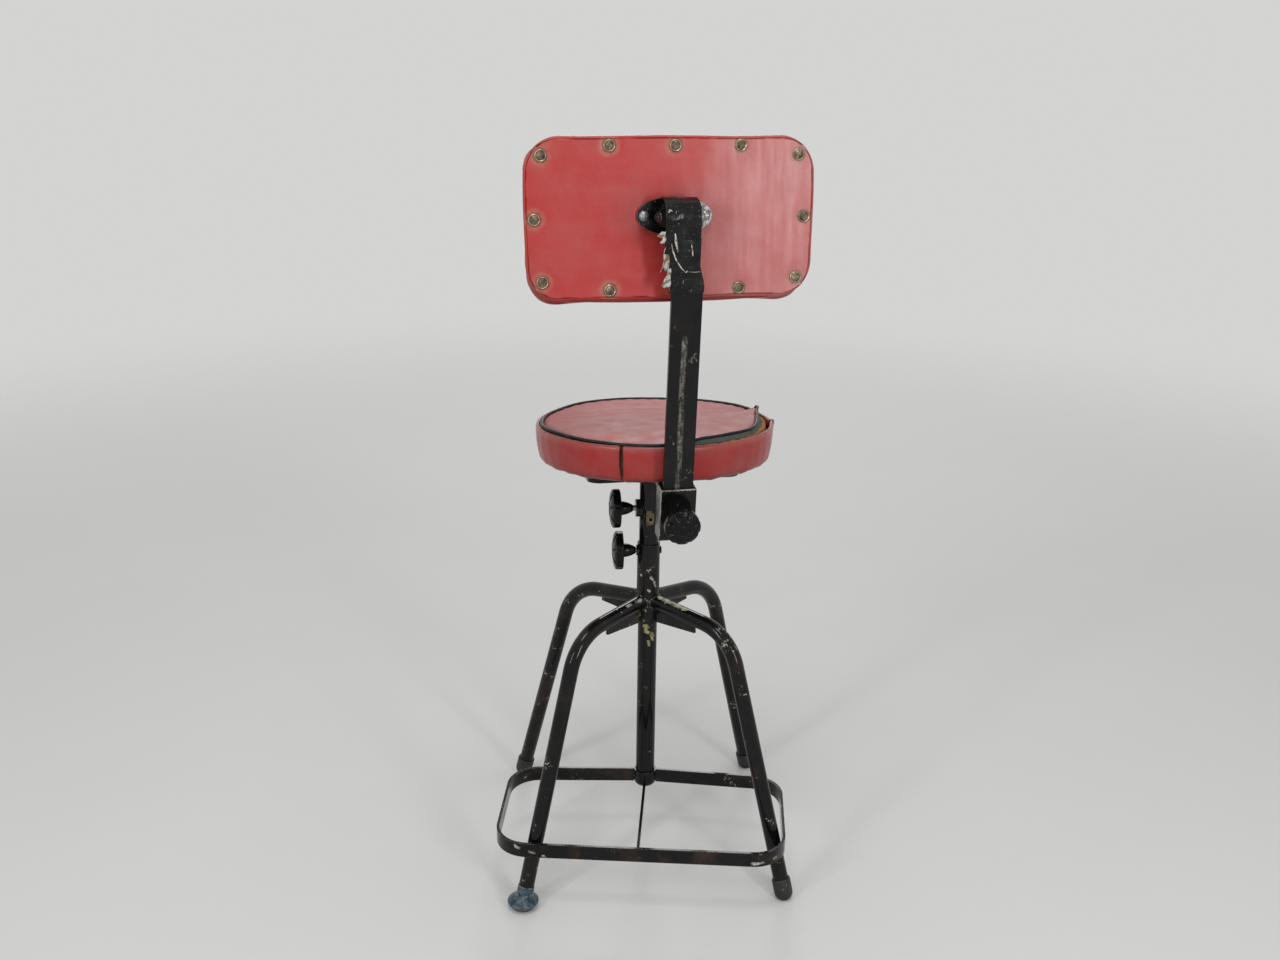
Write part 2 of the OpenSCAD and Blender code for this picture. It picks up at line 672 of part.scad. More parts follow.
module bar_socket() {
  inner = socket_half - socket_wall;
  color([0.11, 0.11, 0.12]) at_bar() difference() {
    translate([-socket_half, socket_front, -socket_below]) cube([2*socket_half, socket_depth, socket_below + socket_above]);
    translate([-inner, socket_front + socket_wall, -socket_below - over])
      cube([2*inner, socket_depth - 2*socket_wall, socket_below + socket_above + 2*over]);
    translate([0, 0, -rear_screw_below]) rotate([-90, 0, 0]) cylinder(r = screw_r + fit, h = far);
  }
}
module socket_block() {
  inner = socket_half - socket_wall;
  block_front = socket_front + socket_wall;
  color([0.2, 0.2, 0.2]) at_bar() translate([-inner, block_front, -socket_below + 4])
    cube([2*inner, -bar_t/2 - bar_gap - block_front, socket_below + socket_above - 7]);
}
module socket_boss() {
  color([0.12, 0.12, 0.12]) at_rear_screw() translate([0, 0, socket_back]) tube(9, screw_r + fit, boss_t);
}

// Seat cushion

module seat_board() {
  color([0.62, 0.48, 0.3]) difference() {
    at_cushion() cylinder(r = board_r, h = board_t, $fn = 96);
    at_seat() for (sx = [-1, 1], sy = [-1, 1])
      translate([sx*pan_screw_at, sy*pan_screw_at, -over]) cylinder(r = 2.5, h = board_t - 2 + over);
    at_seat() for (y = arm_bolt_at) translate([0, y, -over]) cylinder(r = 4, h = board_t - 3 + over);
  }
}
// Height of the crown over the foam, falling from the middle to the piping
function crown(r, edge_r, top) = top + crown_h*(1 - pow(r/edge_r, 2.4));
module seat_foam() {
  edge_r = board_r - 1;
  steps = 10;
  color([0.8, 0.55, 0.3]) at_cushion() rotate_extrude($fn = 96) polygon(concat(
    [[0, board_t], [edge_r, board_t]],
    [for (i = [steps:-1:0]) let (r = edge_r*i/steps) [r, crown(r, edge_r, foam_top)]]
  ));
}
module seat_cover() {
  edge_r = piping_r;
  steps = 10;
  inner_edge = board_r - 1;
  color([0.66, 0.4, 0.38]) at_cushion() rotate_extrude($fn = 96) difference() {
    polygon(concat(
      [for (i = [0:steps]) let (r = edge_r*i/steps) [r, crown(r, edge_r, foam_top + cover_t)]],
      [for (i = [steps:-1:0]) let (r = inner_edge*i/steps) [r, crown(r, inner_edge, foam_top)]]
    ));
    translate([piping_r, piping_z]) circle(d = piping_d, $fn = 32);
  }
}
module seat_band() {
  low_r = seat_r - 5.5;
  low_z = 3;
  shoulder_z = piping_z - shoulder_drop;
  color([0.6, 0.18, 0.18]) at_cushion() rotate_extrude($fn = 96) difference() {
    polygon(concat(
      [[board_r - hem_w, 0], [board_r - hem_w, -1], [board_r - 2, -1], [low_r - 2, 0]],
      [for (i = [0:8]) let (u = i/8) [low_r + (seat_r - low_r)*(1 - pow(1 - u, 2.2)), low_z + (shoulder_z - low_z)*u]],
      arc([seat_r - shoulder_r, shoulder_z], shoulder_r, 15, 105, 6),
      [[board_r - 1, piping_z - 2], [board_r - 1, board_t], [board_r, board_t], [board_r, 0]]
    ));
    translate([piping_r, piping_z]) circle(d = piping_d, $fn = 32);
  }
}
module seat_piping() {
  color([0.12, 0.05, 0.05]) at_cushion() translate([0, 0, piping_z])
    rotate_extrude($fn = 96) translate([piping_r, 0]) circle(d = piping_d, $fn = 32);
}
module seat_tacks() {
  count = 24;
  color([0.5, 0.45, 0.35]) at_cushion() for (k = [0:count - 1]) rotate([0, 0, (k + 0.5)*360/count])
    translate([board_r - tack_in, 0, -2]) cylinder(r1 = 2.5, r2 = 4, h = 1);
}

// Back bar

// The bar's outline seen from the rear, narrowed to the eye above taper_z, with a margin all round
function bar_outline(margin, low, high) = [
  [-bar_w/2 - margin, low], [bar_w/2 + margin, low], [bar_w/2 + margin, high],
  [eye_x[0] - margin, high], [eye_x[0] - margin, taper_z + taper_h], [-bar_w/2 - margin, taper_z]
];
module back_bar() {
  color([0.1, 0.1, 0.11]) at_bar() {
    translate([0, bar_t/2, 0]) rotate([90, 0, 0]) linear_extrude(bar_t) polygon(bar_outline(0, -bar_below, bar_above));
    translate([eye_x[0], -eye_mid_r, bar_above]) rotate([90, 0, 90])
      rotate_extrude(angle = eye_sweep) translate([eye_bore_r, 0]) square([bar_t, eye_w]);
  }
}
module bar_bush() {
  color([0.3, 0.28, 0.25]) at_pivot() translate([eye_x[0], 0, 0]) rotate([0, 90, 0]) tube(bush_r, pivot_r + fit, eye_w);
}
module bar_tape() {
  lap = 170;
  color([0.03, 0.03, 0.03]) at_bar() {
    difference() {
      translate([0, bar_t/2 + tape_t, 0]) rotate([90, 0, 0]) linear_extrude(bar_t + 2*tape_t)
        polygon(bar_outline(tape_t, bar_above - tape_len, bar_above - eye_r));
      translate([0, bar_t/2, 0]) rotate([90, 0, 0]) linear_extrude(bar_t)
        polygon(bar_outline(0, bar_above - tape_len - over, bar_above));
    }
    translate([eye_x[0], bar_t/2, bar_above - eye_r]) cube([eye_w, tape_t, eye_r]);
    translate([eye_x[0], -eye_mid_r, bar_above]) rotate([90, 0, 90])
      rotate_extrude(angle = lap) translate([eye_r, 0]) square([tape_t, eye_w]);
  }
}

// Backrest

function oval(w, h, n) = [for (i = [0:n - 1]) let (a = 360*i/n) [w/2*cos(a), h/2*sin(a)]];
plate_screw_x = 39;
module pivot_plate() {
  color([0.35, 0.36, 0.37]) {
    at_plate() translate([0, plate_back, 0]) rotate([90, 0, 0]) difference() {
      linear_extrude(plate_t) polygon(oval(plate_w, plate_h, 48));
      for (sx = [-1, 1]) translate([sx*plate_screw_x, 0, -over]) cylinder(r = 2.5, h = plate_t + 2*over);
    }
    at_back() for (x = [ear_left, ear_right]) translate([x, 0, 0]) rotate([90, 0, 90]) linear_extrude(plate_t) difference() {
      union() {
        circle(ear_r);
        translate([plate_back, -ear_r]) square([-plate_back, 2*ear_r]);
      }
      circle(pivot_r);
    }
  }
}
module pivot_bolt() {
  shank_l = ear_left + plate_t + bolt_washer_t + nut_h - ear_right;
  color([0.5, 0.48, 0.44]) at_back() translate([ear_right, 0, 0]) rotate([0, 90, 0]) {
    cylinder(r = pivot_r, h = shank_l);
    rotate([180, 0, 0]) dome(bolt_head_r, bolt_head_h);
  }
}
module pivot_nut() {
  color([0.2, 0.2, 0.2]) at_back() translate([ear_left + plate_t + bolt_washer_t, 0, 0]) rotate([0, 90, 0]) {
    difference() {
      cylinder(d = nut_across/cos(30), h = nut_h, $fn = 6);
      translate([0, 0, -over]) cylinder(r = pivot_r, h = nut_h + 2*over);
    }
    translate([0, 0, nut_h]) dome(nut_dome_r, nut_dome_h);
  }
}
module pivot_washer() {
  color([0.4, 0.4, 0.38]) at_back() translate([ear_left + plate_t, 0, 0]) rotate([0, 90, 0]) tube(10, pivot_r, bolt_washer_t);
}
module plate_screws() {
  color([0.6, 0.58, 0.5]) at_plate() for (sx = [-1, 1]) translate([sx*plate_screw_x, plate_back, 0])
    rotate([-90, 0, 0]) dome_screw(6.5, 4, 2.5, plate_t + panel_t + back_board_t - 2);
}

// The twelve screws of the rear panel: corners, mid-edges, ends and middles, from the panel's centre
corner_screw_in = [18, 20];
mid_screw_in = [98, 8.5];
end_screw_in = 9;
screw_corner = [pad_w/2 - corner_screw_in.x, pad_h/2 - corner_screw_in.y];
screw_mid = [pad_w/2 - mid_screw_in.x, pad_h/2 - mid_screw_in.y];
screw_mid_shift = -5;
screw_end = pad_w/2 - end_screw_in;
screw_points = concat(
  [for (sx = [-1, 1], sz = [-1, 1]) [sx*screw_corner.x, sz*screw_corner.y]],
  [for (sx = [-1, 0, 1], sz = [-1, 1]) [sx*screw_mid.x + screw_mid_shift, sz*screw_mid.y]],
  [for (sx = [-1, 1]) [sx*screw_end, 0]]
);
module at_back_screws(y) {
  at_pad() for (p = screw_points) translate([p.x, y, p.y]) rotate([-90, 0, 0]) children();
}
module pad_plate(w, h, r, back, t) {
  at_pad() translate([0, back, 0]) rotate([90, 0, 0]) round_plate(w, h, r, t);
}
board_inset = cover_t + 1;
module board_blank() {
  translate([0, board_back, 0]) rotate([90, 0, 0])
    round_plate(pad_w - 2*board_inset, pad_h - 2*board_inset, pad_corner_r - board_inset, back_board_t);
}
module back_board() {
  color([0.6, 0.46, 0.3]) difference() {
    at_pad() board_blank();
    at_back_screws(board_front + 2) cylinder(r = 2.2, h = far);
    at_plate() for (sx = [-1, 1]) translate([sx*plate_screw_x, board_front + 2, 0]) rotate([-90, 0, 0]) cylinder(r = 2.5, h = far);
  }
}
module back_panel() {
  color([0.66, 0.25, 0.26]) difference() {
    pad_plate(pad_w, pad_h, pad_corner_r, panel_back, panel_t);
    at_back_screws(board_front) cylinder(r = 2.2, h = far);
    at_plate() for (sx = [-1, 1]) translate([sx*plate_screw_x, board_front, 0]) rotate([-90, 0, 0]) cylinder(r = 2.5, h = far);
  }
}
washer_rise = 2.2;
module back_cup_washers() {
  color([0.5, 0.42, 0.28]) at_back_screws(panel_back) difference() {
    cylinder(r1 = 9, r2 = 7.4, h = washer_rise);
    translate([0, 0, -over]) cylinder(r = 2.2, h = washer_rise + 2*over);
  }
}
module back_screws() {
  color([0.55, 0.47, 0.33]) at_back_screws(panel_back + washer_rise)
    dome_screw(6.8, 3.4, 2.2, washer_rise + panel_t + back_board_t - 2);
}
// The cushion's form: rings of a rounded outline from the rear panel to the crowned front.
// d runs from 0 at the rear to 1 at the middle of the front.
ring_n = 48;
form_n = 12;
function side_pull(a) = 1 - 0.014*pow(cos(2*a), 2);
function squircle(half_w, half_h, a, e) = [
  half_w*sign(cos(a))*pow(abs(cos(a)), 2/e)*side_pull(a),
  half_h*sign(sin(a))*pow(abs(sin(a)), 2/e)*side_pull(a)
];
form_power = 5.2;
function sag_part(k) = k <= 5 ? sin(18*k) : 1 - pow((k - 5)/(form_n - 5), 2);
// The front's edge is rounded over round_depth, and the last ring lies front_inset inside the widest one
round_depth = 15;
front_inset = 46;
// How far out, and how far forward, ring k lies
function swell(k, inset) =
  (k <= 5 ? pad_swell*sin(18*k) : pad_swell - front_inset*pow((k - 5)/(form_n - 5), 3.2)) - inset;
function depth(k, inset) = k <= 5
  ? (pad_t - round_depth)*k/5
  : (pad_t - round_depth) + (round_depth - inset)*sin(90*pow((k - 5)/(form_n - 5), 0.62));
function form_ring(k, inset) = [for (i = [0:ring_n - 1]) let (
    a = 360*i/ring_n,
    out = swell(k, inset),
    drop = max(0, -sin(a))*(pad_sag - pad_swell)*sag_part(k),
    p = squircle(pad_w/2 + out, pad_h/2 + out + drop, a, form_power)
  ) [p.x, -depth(k, inset), p.y]];
module cushion_form(inset) {
  points = concat([for (k = [0:form_n]) each form_ring(k, inset)], [[0, -pad_t + inset - 1.5, 0]]);
  tip = len(points) - 1;
  sides = [for (k = [0:form_n - 1], i = [0:ring_n - 1]) let (j = (i + 1) % ring_n)
    each [[k*ring_n + i, (k + 1)*ring_n + i, k*ring_n + j], [k*ring_n + j, (k + 1)*ring_n + i, (k + 1)*ring_n + j]]];
  back = [[for (i = [0:ring_n - 1]) i]];
  front = [for (i = [0:ring_n - 1]) [form_n*ring_n + i, tip, form_n*ring_n + (i + 1) % ring_n]];
  translate([0, board_back, 0]) polyhedron(points, concat(sides, back, front));
}
module back_cover() {
  color([0.66, 0.3, 0.3]) at_pad() difference() {
    cushion_form(0);
    cushion_form(cover_t);
    board_blank();
  }
}
module back_foam() {
  color([0.8, 0.55, 0.3]) at_pad() difference() {
    cushion_form(cover_t);
    translate([-pad_w, board_front, -pad_h]) cube([2*pad_w, far, 2*pad_h]);
  }
}

hub_sleeve();
hub_rivet();
height_screw_pad();
leg_front_left();
leg_front_right();
leg_rear_right();
leg_rear_left();
gussets();
ferrule_front_left();
ferrule_front_right();
ferrule_rear_right();
glide_rear_left();
foot_ring();
ring_tie_strip();
ring_cup();
height_screw();
height_knob();
stem_tube();
stem_end_plug();
swivel_screw_flange();
swivel_washer();
swivel_screw();
swivel_knob();
spindle();
pan_hub();
seat_pan();
pan_screws();
back_arm();
arm_bolts();
bar_socket();
socket_block();
socket_boss();
rear_screw();
rear_knob();
seat_board();
seat_foam();
seat_cover();
seat_band();
seat_piping();
seat_tacks();
back_bar();
bar_bush();
bar_tape();
pivot_plate();
pivot_bolt();
pivot_nut();
pivot_washer();
plate_screws();
back_board();
back_foam();
back_cover();
back_panel();
back_cup_washers();
back_screws();
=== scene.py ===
"""The looks of a worn swivel work stool: cushions, tape, knobs, welds and the finish of its frame."""

import json
import math

import bmesh
import bpy
from bpy.props import FloatProperty, FloatVectorProperty, IntProperty, PointerProperty
from mathutils import Matrix, Vector, noise


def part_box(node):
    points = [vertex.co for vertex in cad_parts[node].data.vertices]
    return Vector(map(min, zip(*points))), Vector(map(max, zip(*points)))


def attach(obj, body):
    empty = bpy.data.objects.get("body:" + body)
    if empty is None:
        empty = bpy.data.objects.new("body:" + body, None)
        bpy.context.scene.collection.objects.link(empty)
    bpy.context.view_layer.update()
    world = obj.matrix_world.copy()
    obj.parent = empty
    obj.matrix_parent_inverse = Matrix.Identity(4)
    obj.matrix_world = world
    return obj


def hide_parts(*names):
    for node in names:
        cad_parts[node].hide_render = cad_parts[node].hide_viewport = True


bl_info = {
    "name": "Worn Work Stool",
    "version": (1, 0, 0),
    "blender": (4, 5, 0),
    "location": "3D View > Sidebar > Stool",
    "description": "Dresses a swivel work stool with cushions, tape, knobs and worn paint",
    "category": "Add Mesh",
}

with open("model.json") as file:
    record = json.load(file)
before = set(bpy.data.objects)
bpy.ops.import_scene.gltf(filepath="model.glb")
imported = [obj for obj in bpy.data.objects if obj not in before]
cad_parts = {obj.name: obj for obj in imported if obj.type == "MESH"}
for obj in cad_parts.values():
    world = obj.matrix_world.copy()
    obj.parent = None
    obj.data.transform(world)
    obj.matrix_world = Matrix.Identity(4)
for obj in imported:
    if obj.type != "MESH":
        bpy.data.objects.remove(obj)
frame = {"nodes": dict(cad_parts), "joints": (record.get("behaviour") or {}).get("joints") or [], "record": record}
JOINTS = {joint["name"]: joint for joint in frame["joints"]}
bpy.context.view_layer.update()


def node_centre(node):
    """The middle of a CAD node's box."""
    low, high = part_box(node)
    return (low + high) / 2


def length(label, text, metres):
    return FloatProperty(name=label, description=text, default=metres, unit="LENGTH", subtype="DISTANCE")


def turn(label, text, degrees):
    return FloatProperty(name=label, description=text, default=math.radians(degrees), subtype="ANGLE")


def colour(label, text, rgb):
    return FloatVectorProperty(name=label, description=text, default=rgb, size=3, subtype="COLOR")


class StoolSeatSizes(bpy.types.PropertyGroup):
    """Sizes of the round seat cushion."""

    rake: turn("Rake", "Slope of the seat, rear edge high", 4)
    welt_radius: length("Welt radius", "From the seat's middle to the middle of the welt", 0.1610)
    welt_height: length("Welt height", "From the board's underside to the middle of the welt", 0.050)
    welt_thickness: length("Welt thickness", "Diameter of the piping", 0.0050)
    widest_radius: length("Widest radius", "Radius of the side band where it bulges most", 0.170)
    crown: length("Crown", "Rise of the seat's middle above the welt", 0.0085)
    tear_start: turn("Tear start", "Where the welt leaves the band, from the sitter's left", 88)
    tear_end: turn("Tear end", "Where the welt meets the band again", 191)
    tear_pull: length("Tear pull", "How far the torn cover has drawn inwards", 0.0150)
    tear_lift: length("Tear lift", "How far the torn cover has curled up", 0.0115)
    seam_turn: turn("Seam", "Where the band's upright seam has split", 63)
    seam_gap: length("Seam gap", "Width of the split seam at its middle", 0.0052)


class StoolBackSizes(bpy.types.PropertyGroup):
    """Sizes of the backrest."""

    tilt: turn("Tilt", "Tilt of the backrest, top towards the sitter", 4)
    shift: length("Shift", "How far the backrest sits off the pivot, sideways", 0.013)
    drop: length("Drop", "How far the panel's middle lies below the pivot", 0.003)
    panel_y: length("Panel face", "Distance of the rear panel's face in front of the pivot", 0.028)
    width: length("Width", "Width of the rear panel", 0.363)
    height: length("Height", "Height of the rear panel", 0.194)
    corner: length("Corner", "Corner radius of the rear panel", 0.042)
    depth: length("Depth", "Thickness of the whole backrest", 0.046)
    swell: length("Swell", "How far the cushion stands out past the rear panel", 0.005)
    sag: length("Sag", "How far the cushion hangs below the rear panel", 0.018)
    lip: length("Lip", "How far the panel's cover wraps out past its board", 0.0032)


class StoolKnobSizes(bpy.types.PropertyGroup):
    """Sizes of the clamp knobs."""

    side_wheel: length("Side wheel", "Wheel diameter of the two side knobs", 0.057)
    rear_wheel: length("Rear wheel", "Wheel diameter of the rear knob", 0.0480)
    rim: length("Rim", "Thickness of a wheel at its rim", 0.012)
    dome: length("Dome", "Rise of the wheel's face", 0.0045)
    neck: length("Neck", "Length of the neck", 0.0185)
    flutes: IntProperty(name="Flutes", description="Grooves round a wheel", default=8, min=5, max=12)


class StoolFinishColours(bpy.types.PropertyGroup):
    """Colours of the stool's finishes."""

    leatherette: colour("Leatherette", "Red leatherette where it is clean", (0.490, 0.031, 0.030))
    # Also painted as a paler sheen where a piece stores sheen
    faded: colour("Faded leatherette", "Red leatherette where it is rubbed and dusty", (0.420, 0.150, 0.132))
    # Dirt, and painted shade at the panel's edge and the cushion's seam and underside
    dirt_and_shade: colour("Grime", "Dirt in creases and round the screws", (0.095, 0.026, 0.020))
    bloom: colour("Bloom", "Tan bloom round the screws", (0.450, 0.240, 0.165))
    paint: colour("Paint", "Black paint of the frame", (0.0042, 0.0042, 0.0048))
    primer: colour("Chips", "Pale metal and primer in the chips", (0.52, 0.52, 0.46))
    rust: colour("Rust", "Brown stain round the chips", (0.105, 0.060, 0.034))
    brass: colour("Brass", "Dull brass of the screws and cups", (0.500, 0.405, 0.290))
    foam: colour("Foam", "Aged foam in the tears", (0.600, 0.290, 0.100))


# Bare patches of the paint: the ends of a line along each patch and its half width
SLEEVE_CHIPS = (
    ((0.0130, 0.0107, 0.4400), (0.0125, 0.0112, 0.4392), 0.0024),
    ((-0.0008, 0.0168, 0.4384), (-0.0040, 0.0163, 0.4330), 0.0030),
    ((-0.0060, 0.0157, 0.4290), (-0.0080, 0.0148, 0.4225), 0.0028),
    ((0.0033, 0.0165, 0.4178), (0.0010, 0.0168, 0.4160), 0.0026),
    ((0.0071, 0.0153, 0.3854), (0.0065, 0.0155, 0.3840), 0.0026),
)
STEM_CHIPS = (
    ((0.0060, 0.0130, 0.3590), (0.0035, 0.0138, 0.3500), 0.0050),
    ((-0.0040, 0.0137, 0.3460), (-0.0050, 0.0134, 0.3370), 0.0045),
    ((0.0010, 0.0142, 0.3330), (0.0000, 0.0143, 0.3270), 0.0032),
)
RIGHT_LEG_CHIPS = (((-0.0140, 0.0215, 0.4063), (-0.0420, 0.0590, 0.4030), 0.0058),)
LEFT_LEG_CHIPS = (
    ((0.0150, 0.0195, 0.4046), (0.0230, 0.0260, 0.4042), 0.0034),
    ((0.0330, 0.0330, 0.4034), (0.0380, 0.0370, 0.4030), 0.0034),
)
RING_CHIPS = (
    ((0.2212, 0.1587, 0.0976), (0.2150, 0.1630, 0.0950), 0.0034),
    ((0.2007, 0.1663, 0.0903), (0.1950, 0.1690, 0.0890), 0.0034),
    ((0.1827, 0.1707, 0.0844), (0.1800, 0.1710, 0.0840), 0.0028),
    ((-0.1050, 0.2461, 0.0863), (-0.1200, 0.2450, 0.0870), 0.0038),
    ((-0.1380, 0.2420, 0.0893), (-0.1450, 0.2400, 0.0893), 0.0034),
)
CUP_CHIPS = (
    ((-0.0221, 0.0096, 0.0966), (-0.0180, 0.0150, 0.0960), 0.0040),
    ((-0.0100, 0.0200, 0.0943), (-0.0050, 0.0210, 0.0940), 0.0030),
)
# The middle x, half width, lowest and highest z of the rubbed line down the bar
BAR_STRIPE = (0.0008, 0.0044, 0.560, 0.842)


def socket_chips():
    """The rubbed mouth of the bar's socket and its left rear edge, from the socket's own box."""
    low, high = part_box("bar_socket")
    left, right, rear, top = high.x, low.x, high.y, high.z
    lip = top - 0.0025
    return (
        ((right, rear, lip), (left, rear, lip), 0.0022),
        ((left, rear, lip), (left, rear - 0.022, top), 0.0022),
        ((right, rear, lip), (right, rear - 0.022, top), 0.0022),
        ((left, rear, lip), (left, rear - 0.006, lip - 0.065), 0.0017),
    )


def sizes_of(group):
    return getattr(bpy.context.scene, group)


# Places

# From the rear knob's screw to the flat bar's middle
BAR_TO_SCREW = 0.020


def seat_place():
    """From the seat's own frame, on the board's underside, to the stool's."""
    seat = sizes_of("stool_seat")
    welt_middle = node_centre("seat_piping")
    return (
        Matrix.Translation(welt_middle)
        @ Matrix.Rotation(seat.rake, 4, "X")
        @ Matrix.Translation((0, 0, -seat.welt_height))
    )


def back_place():
    """From the backrest's own frame, on the rear panel's face, to the stool's.

    Its +Z points backwards and its +Y up, so that its +X is the right as seen from behind.
    """
    back = sizes_of("stool_back")
    return (
        Matrix.Translation(JOINTS["backrest_tilt"]["pos_m"])
        @ Matrix.Rotation(back.tilt, 4, "X")
        @ Matrix.Translation((back.shift, -back.panel_y, -back.drop))
        @ Matrix.Rotation(math.radians(-90), 4, "X")
        @ Matrix.Rotation(math.radians(180), 4, "Z")
    )


def bar_place():
    """From the flat bar's frame, at the height of its socket, to the stool's. Its +Z runs up the bar."""
    up = Vector(JOINTS["back_bar_slide"]["axis"])
    lean = math.atan2(up.y, up.z)
    screw = JOINTS["rear_knob_turn"]
    middle = Vector(screw["pos_m"]) - BAR_TO_SCREW * Vector(screw["axis"])
    return Matrix.Translation(middle) @ Matrix.Rotation(-lean, 4, "X")


def knob_place(joint, thin_end):
    """From a knob's frame, its thin end at the origin and its wheel up +Z, to the stool's."""
    axis = Vector(JOINTS[joint]["axis"])
    turned = axis.to_track_quat("Z", "Y").to_matrix().to_4x4()
    return Matrix.Translation(thin_end) @ turned


# Making and finishing pieces

def side_of(value):
    return math.copysign(1.0, value)


def smoothstep(low, high, value):
    share = min(1.0, max(0.0, (value - low) / (high - low)))
    return share * share * (3 - 2 * share)


def angle_of(point):
    """A point's angle about +Z."""
    return math.atan2(point.y, point.x)


def at_angle(radius, angle, height):
    """The point at a radius, an angle about +Z and a height."""
    return Vector((radius * math.cos(angle), radius * math.sin(angle), height))


def toned(rgb, tone):
    """A colour made lighter or darker."""
    return tuple(tone * c for c in rgb)


def arc(across, up, radius, start, sweep, steps):
    """Points along an arc round a middle, its start and sweep in degrees."""
    angles = [math.radians(start + sweep * k / steps) for k in range(steps + 1)]
    return [(across + radius * math.cos(a), up + radius * math.sin(a)) for a in angles]


def only(items, kind):
    """The items of one kind in what an operator returns."""
    return [item for item in items if isinstance(item, kind)]


def rough(point, scale, seed=0.0):
    """Smooth noise from -1 to 1 at a point in metres, with features of about 1/scale metres."""
    return noise.fractal(Vector(point) * scale + Vector((seed, seed * 0.7, -seed)), 1.0, 2.0, 3)


def spun(profile, steps, closed_profile=False, start=0.0, sweep=2 * math.pi):
    """A shape turned about +Z from (radius, height) points."""
    bm = bmesh.new()
    points = [bm.verts.new((radius, 0, height)) for radius, height in profile]
    ends = points[1:] + points[:1] if closed_profile else points[1:]
    lines = [bm.edges.new(pair) for pair in zip(points, ends)]
    bmesh.ops.rotate(bm, cent=(0, 0, 0), matrix=Matrix.Rotation(start, 3, "Z"), verts=points)
    whole = abs(sweep - 2 * math.pi) < 1e-6
    bmesh.ops.spin(
        bm, geom=points + lines, cent=(0, 0, 0), axis=(0, 0, 1), angle=sweep, steps=steps, use_merge=whole
    )
    bmesh.ops.remove_doubles(bm, verts=bm.verts, dist=1e-7)
    bmesh.ops.recalc_face_normals(bm, faces=bm.faces)
    return bm


def spun_ring(radius, thick, sides, steps):
    """A ring about +Z whose section is a circle, thick being the circle's radius."""
    angles = [2 * math.pi * k / sides for k in range(sides)]
    section = [(radius + thick * math.cos(a), thick * math.sin(a)) for a in angles]
    return spun(section, steps, closed_profile=True)


def shape(bm, move):
    """Moves each vertex to where move(point) says."""
    for vert in bm.verts:
        vert.co = move(vert.co.copy())


def soil(piece, name, amount):
    """Stores amount(point) on the piece, for its material to read."""
    stored = piece.data.attributes.new(name, "FLOAT", "POINT")
    stored.data.foreach_set("value", [amount(vert.co) for vert in piece.data.vertices])


def mesh_of(bm, name):
    """A mesh made from a bmesh, which is freed."""
    mesh = bpy.data.meshes.new(name)
    bm.to_mesh(mesh)
    bm.free()
    return mesh


def add_copy(bm, mesh, place):
    """Adds a copy of a mesh to a bmesh, at its place."""
    part = mesh.copy()
    part.transform(place)
    bm.from_mesh(part)
    bpy.data.meshes.remove(part)


def join(bm, part, place):
    """Adds one bmesh to another, at its place, and frees it."""
    mesh = mesh_of(part, "part")
    add_copy(bm, mesh, place)
    bpy.data.meshes.remove(mesh)


def smooth(mesh):
    mesh.polygons.foreach_set("use_smooth", [True] * len(mesh.polygons))


def piece_of(name, bm, material, place=None, sharp=None):
    """Turns a bmesh into a smooth piece at the origin, its place in its mesh."""
    if place is not None:
        bmesh.ops.transform(bm, matrix=place, verts=bm.verts)
    mesh = mesh_of(bm, name)
    smooth(mesh)
    if sharp is not None:
        mesh.set_sharp_from_angle(angle=math.radians(sharp))
    mesh.materials.append(material)
    piece = bpy.data.objects.new(name, mesh)
    bpy.context.scene.collection.objects.link(piece)
    return piece


def belongs(piece, body, slot, *nodes):
    """The piece rides on a body and stands for the nodes. The slot is not used."""
    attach(piece, body)
    if nodes:
        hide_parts(*nodes)


def thickness(piece, metres, offset=-1.0):
    solid = piece.modifiers.new("Thickness", "SOLIDIFY")
    solid.thickness = metres
    solid.offset = offset
    return piece


def rounding(piece):
    surface = piece.modifiers.new("Rounding", "SUBSURF")
    surface.levels = 1
    surface.render_levels = 1
    return piece


def baked_mesh(piece):
    """The piece's mesh with its modifiers applied."""
    graph = bpy.context.evaluated_depsgraph_get()
    mesh = bpy.data.meshes.new_from_object(piece.evaluated_get(graph))
    piece.modifiers.clear()
    piece.data = mesh
    return piece


# Materials

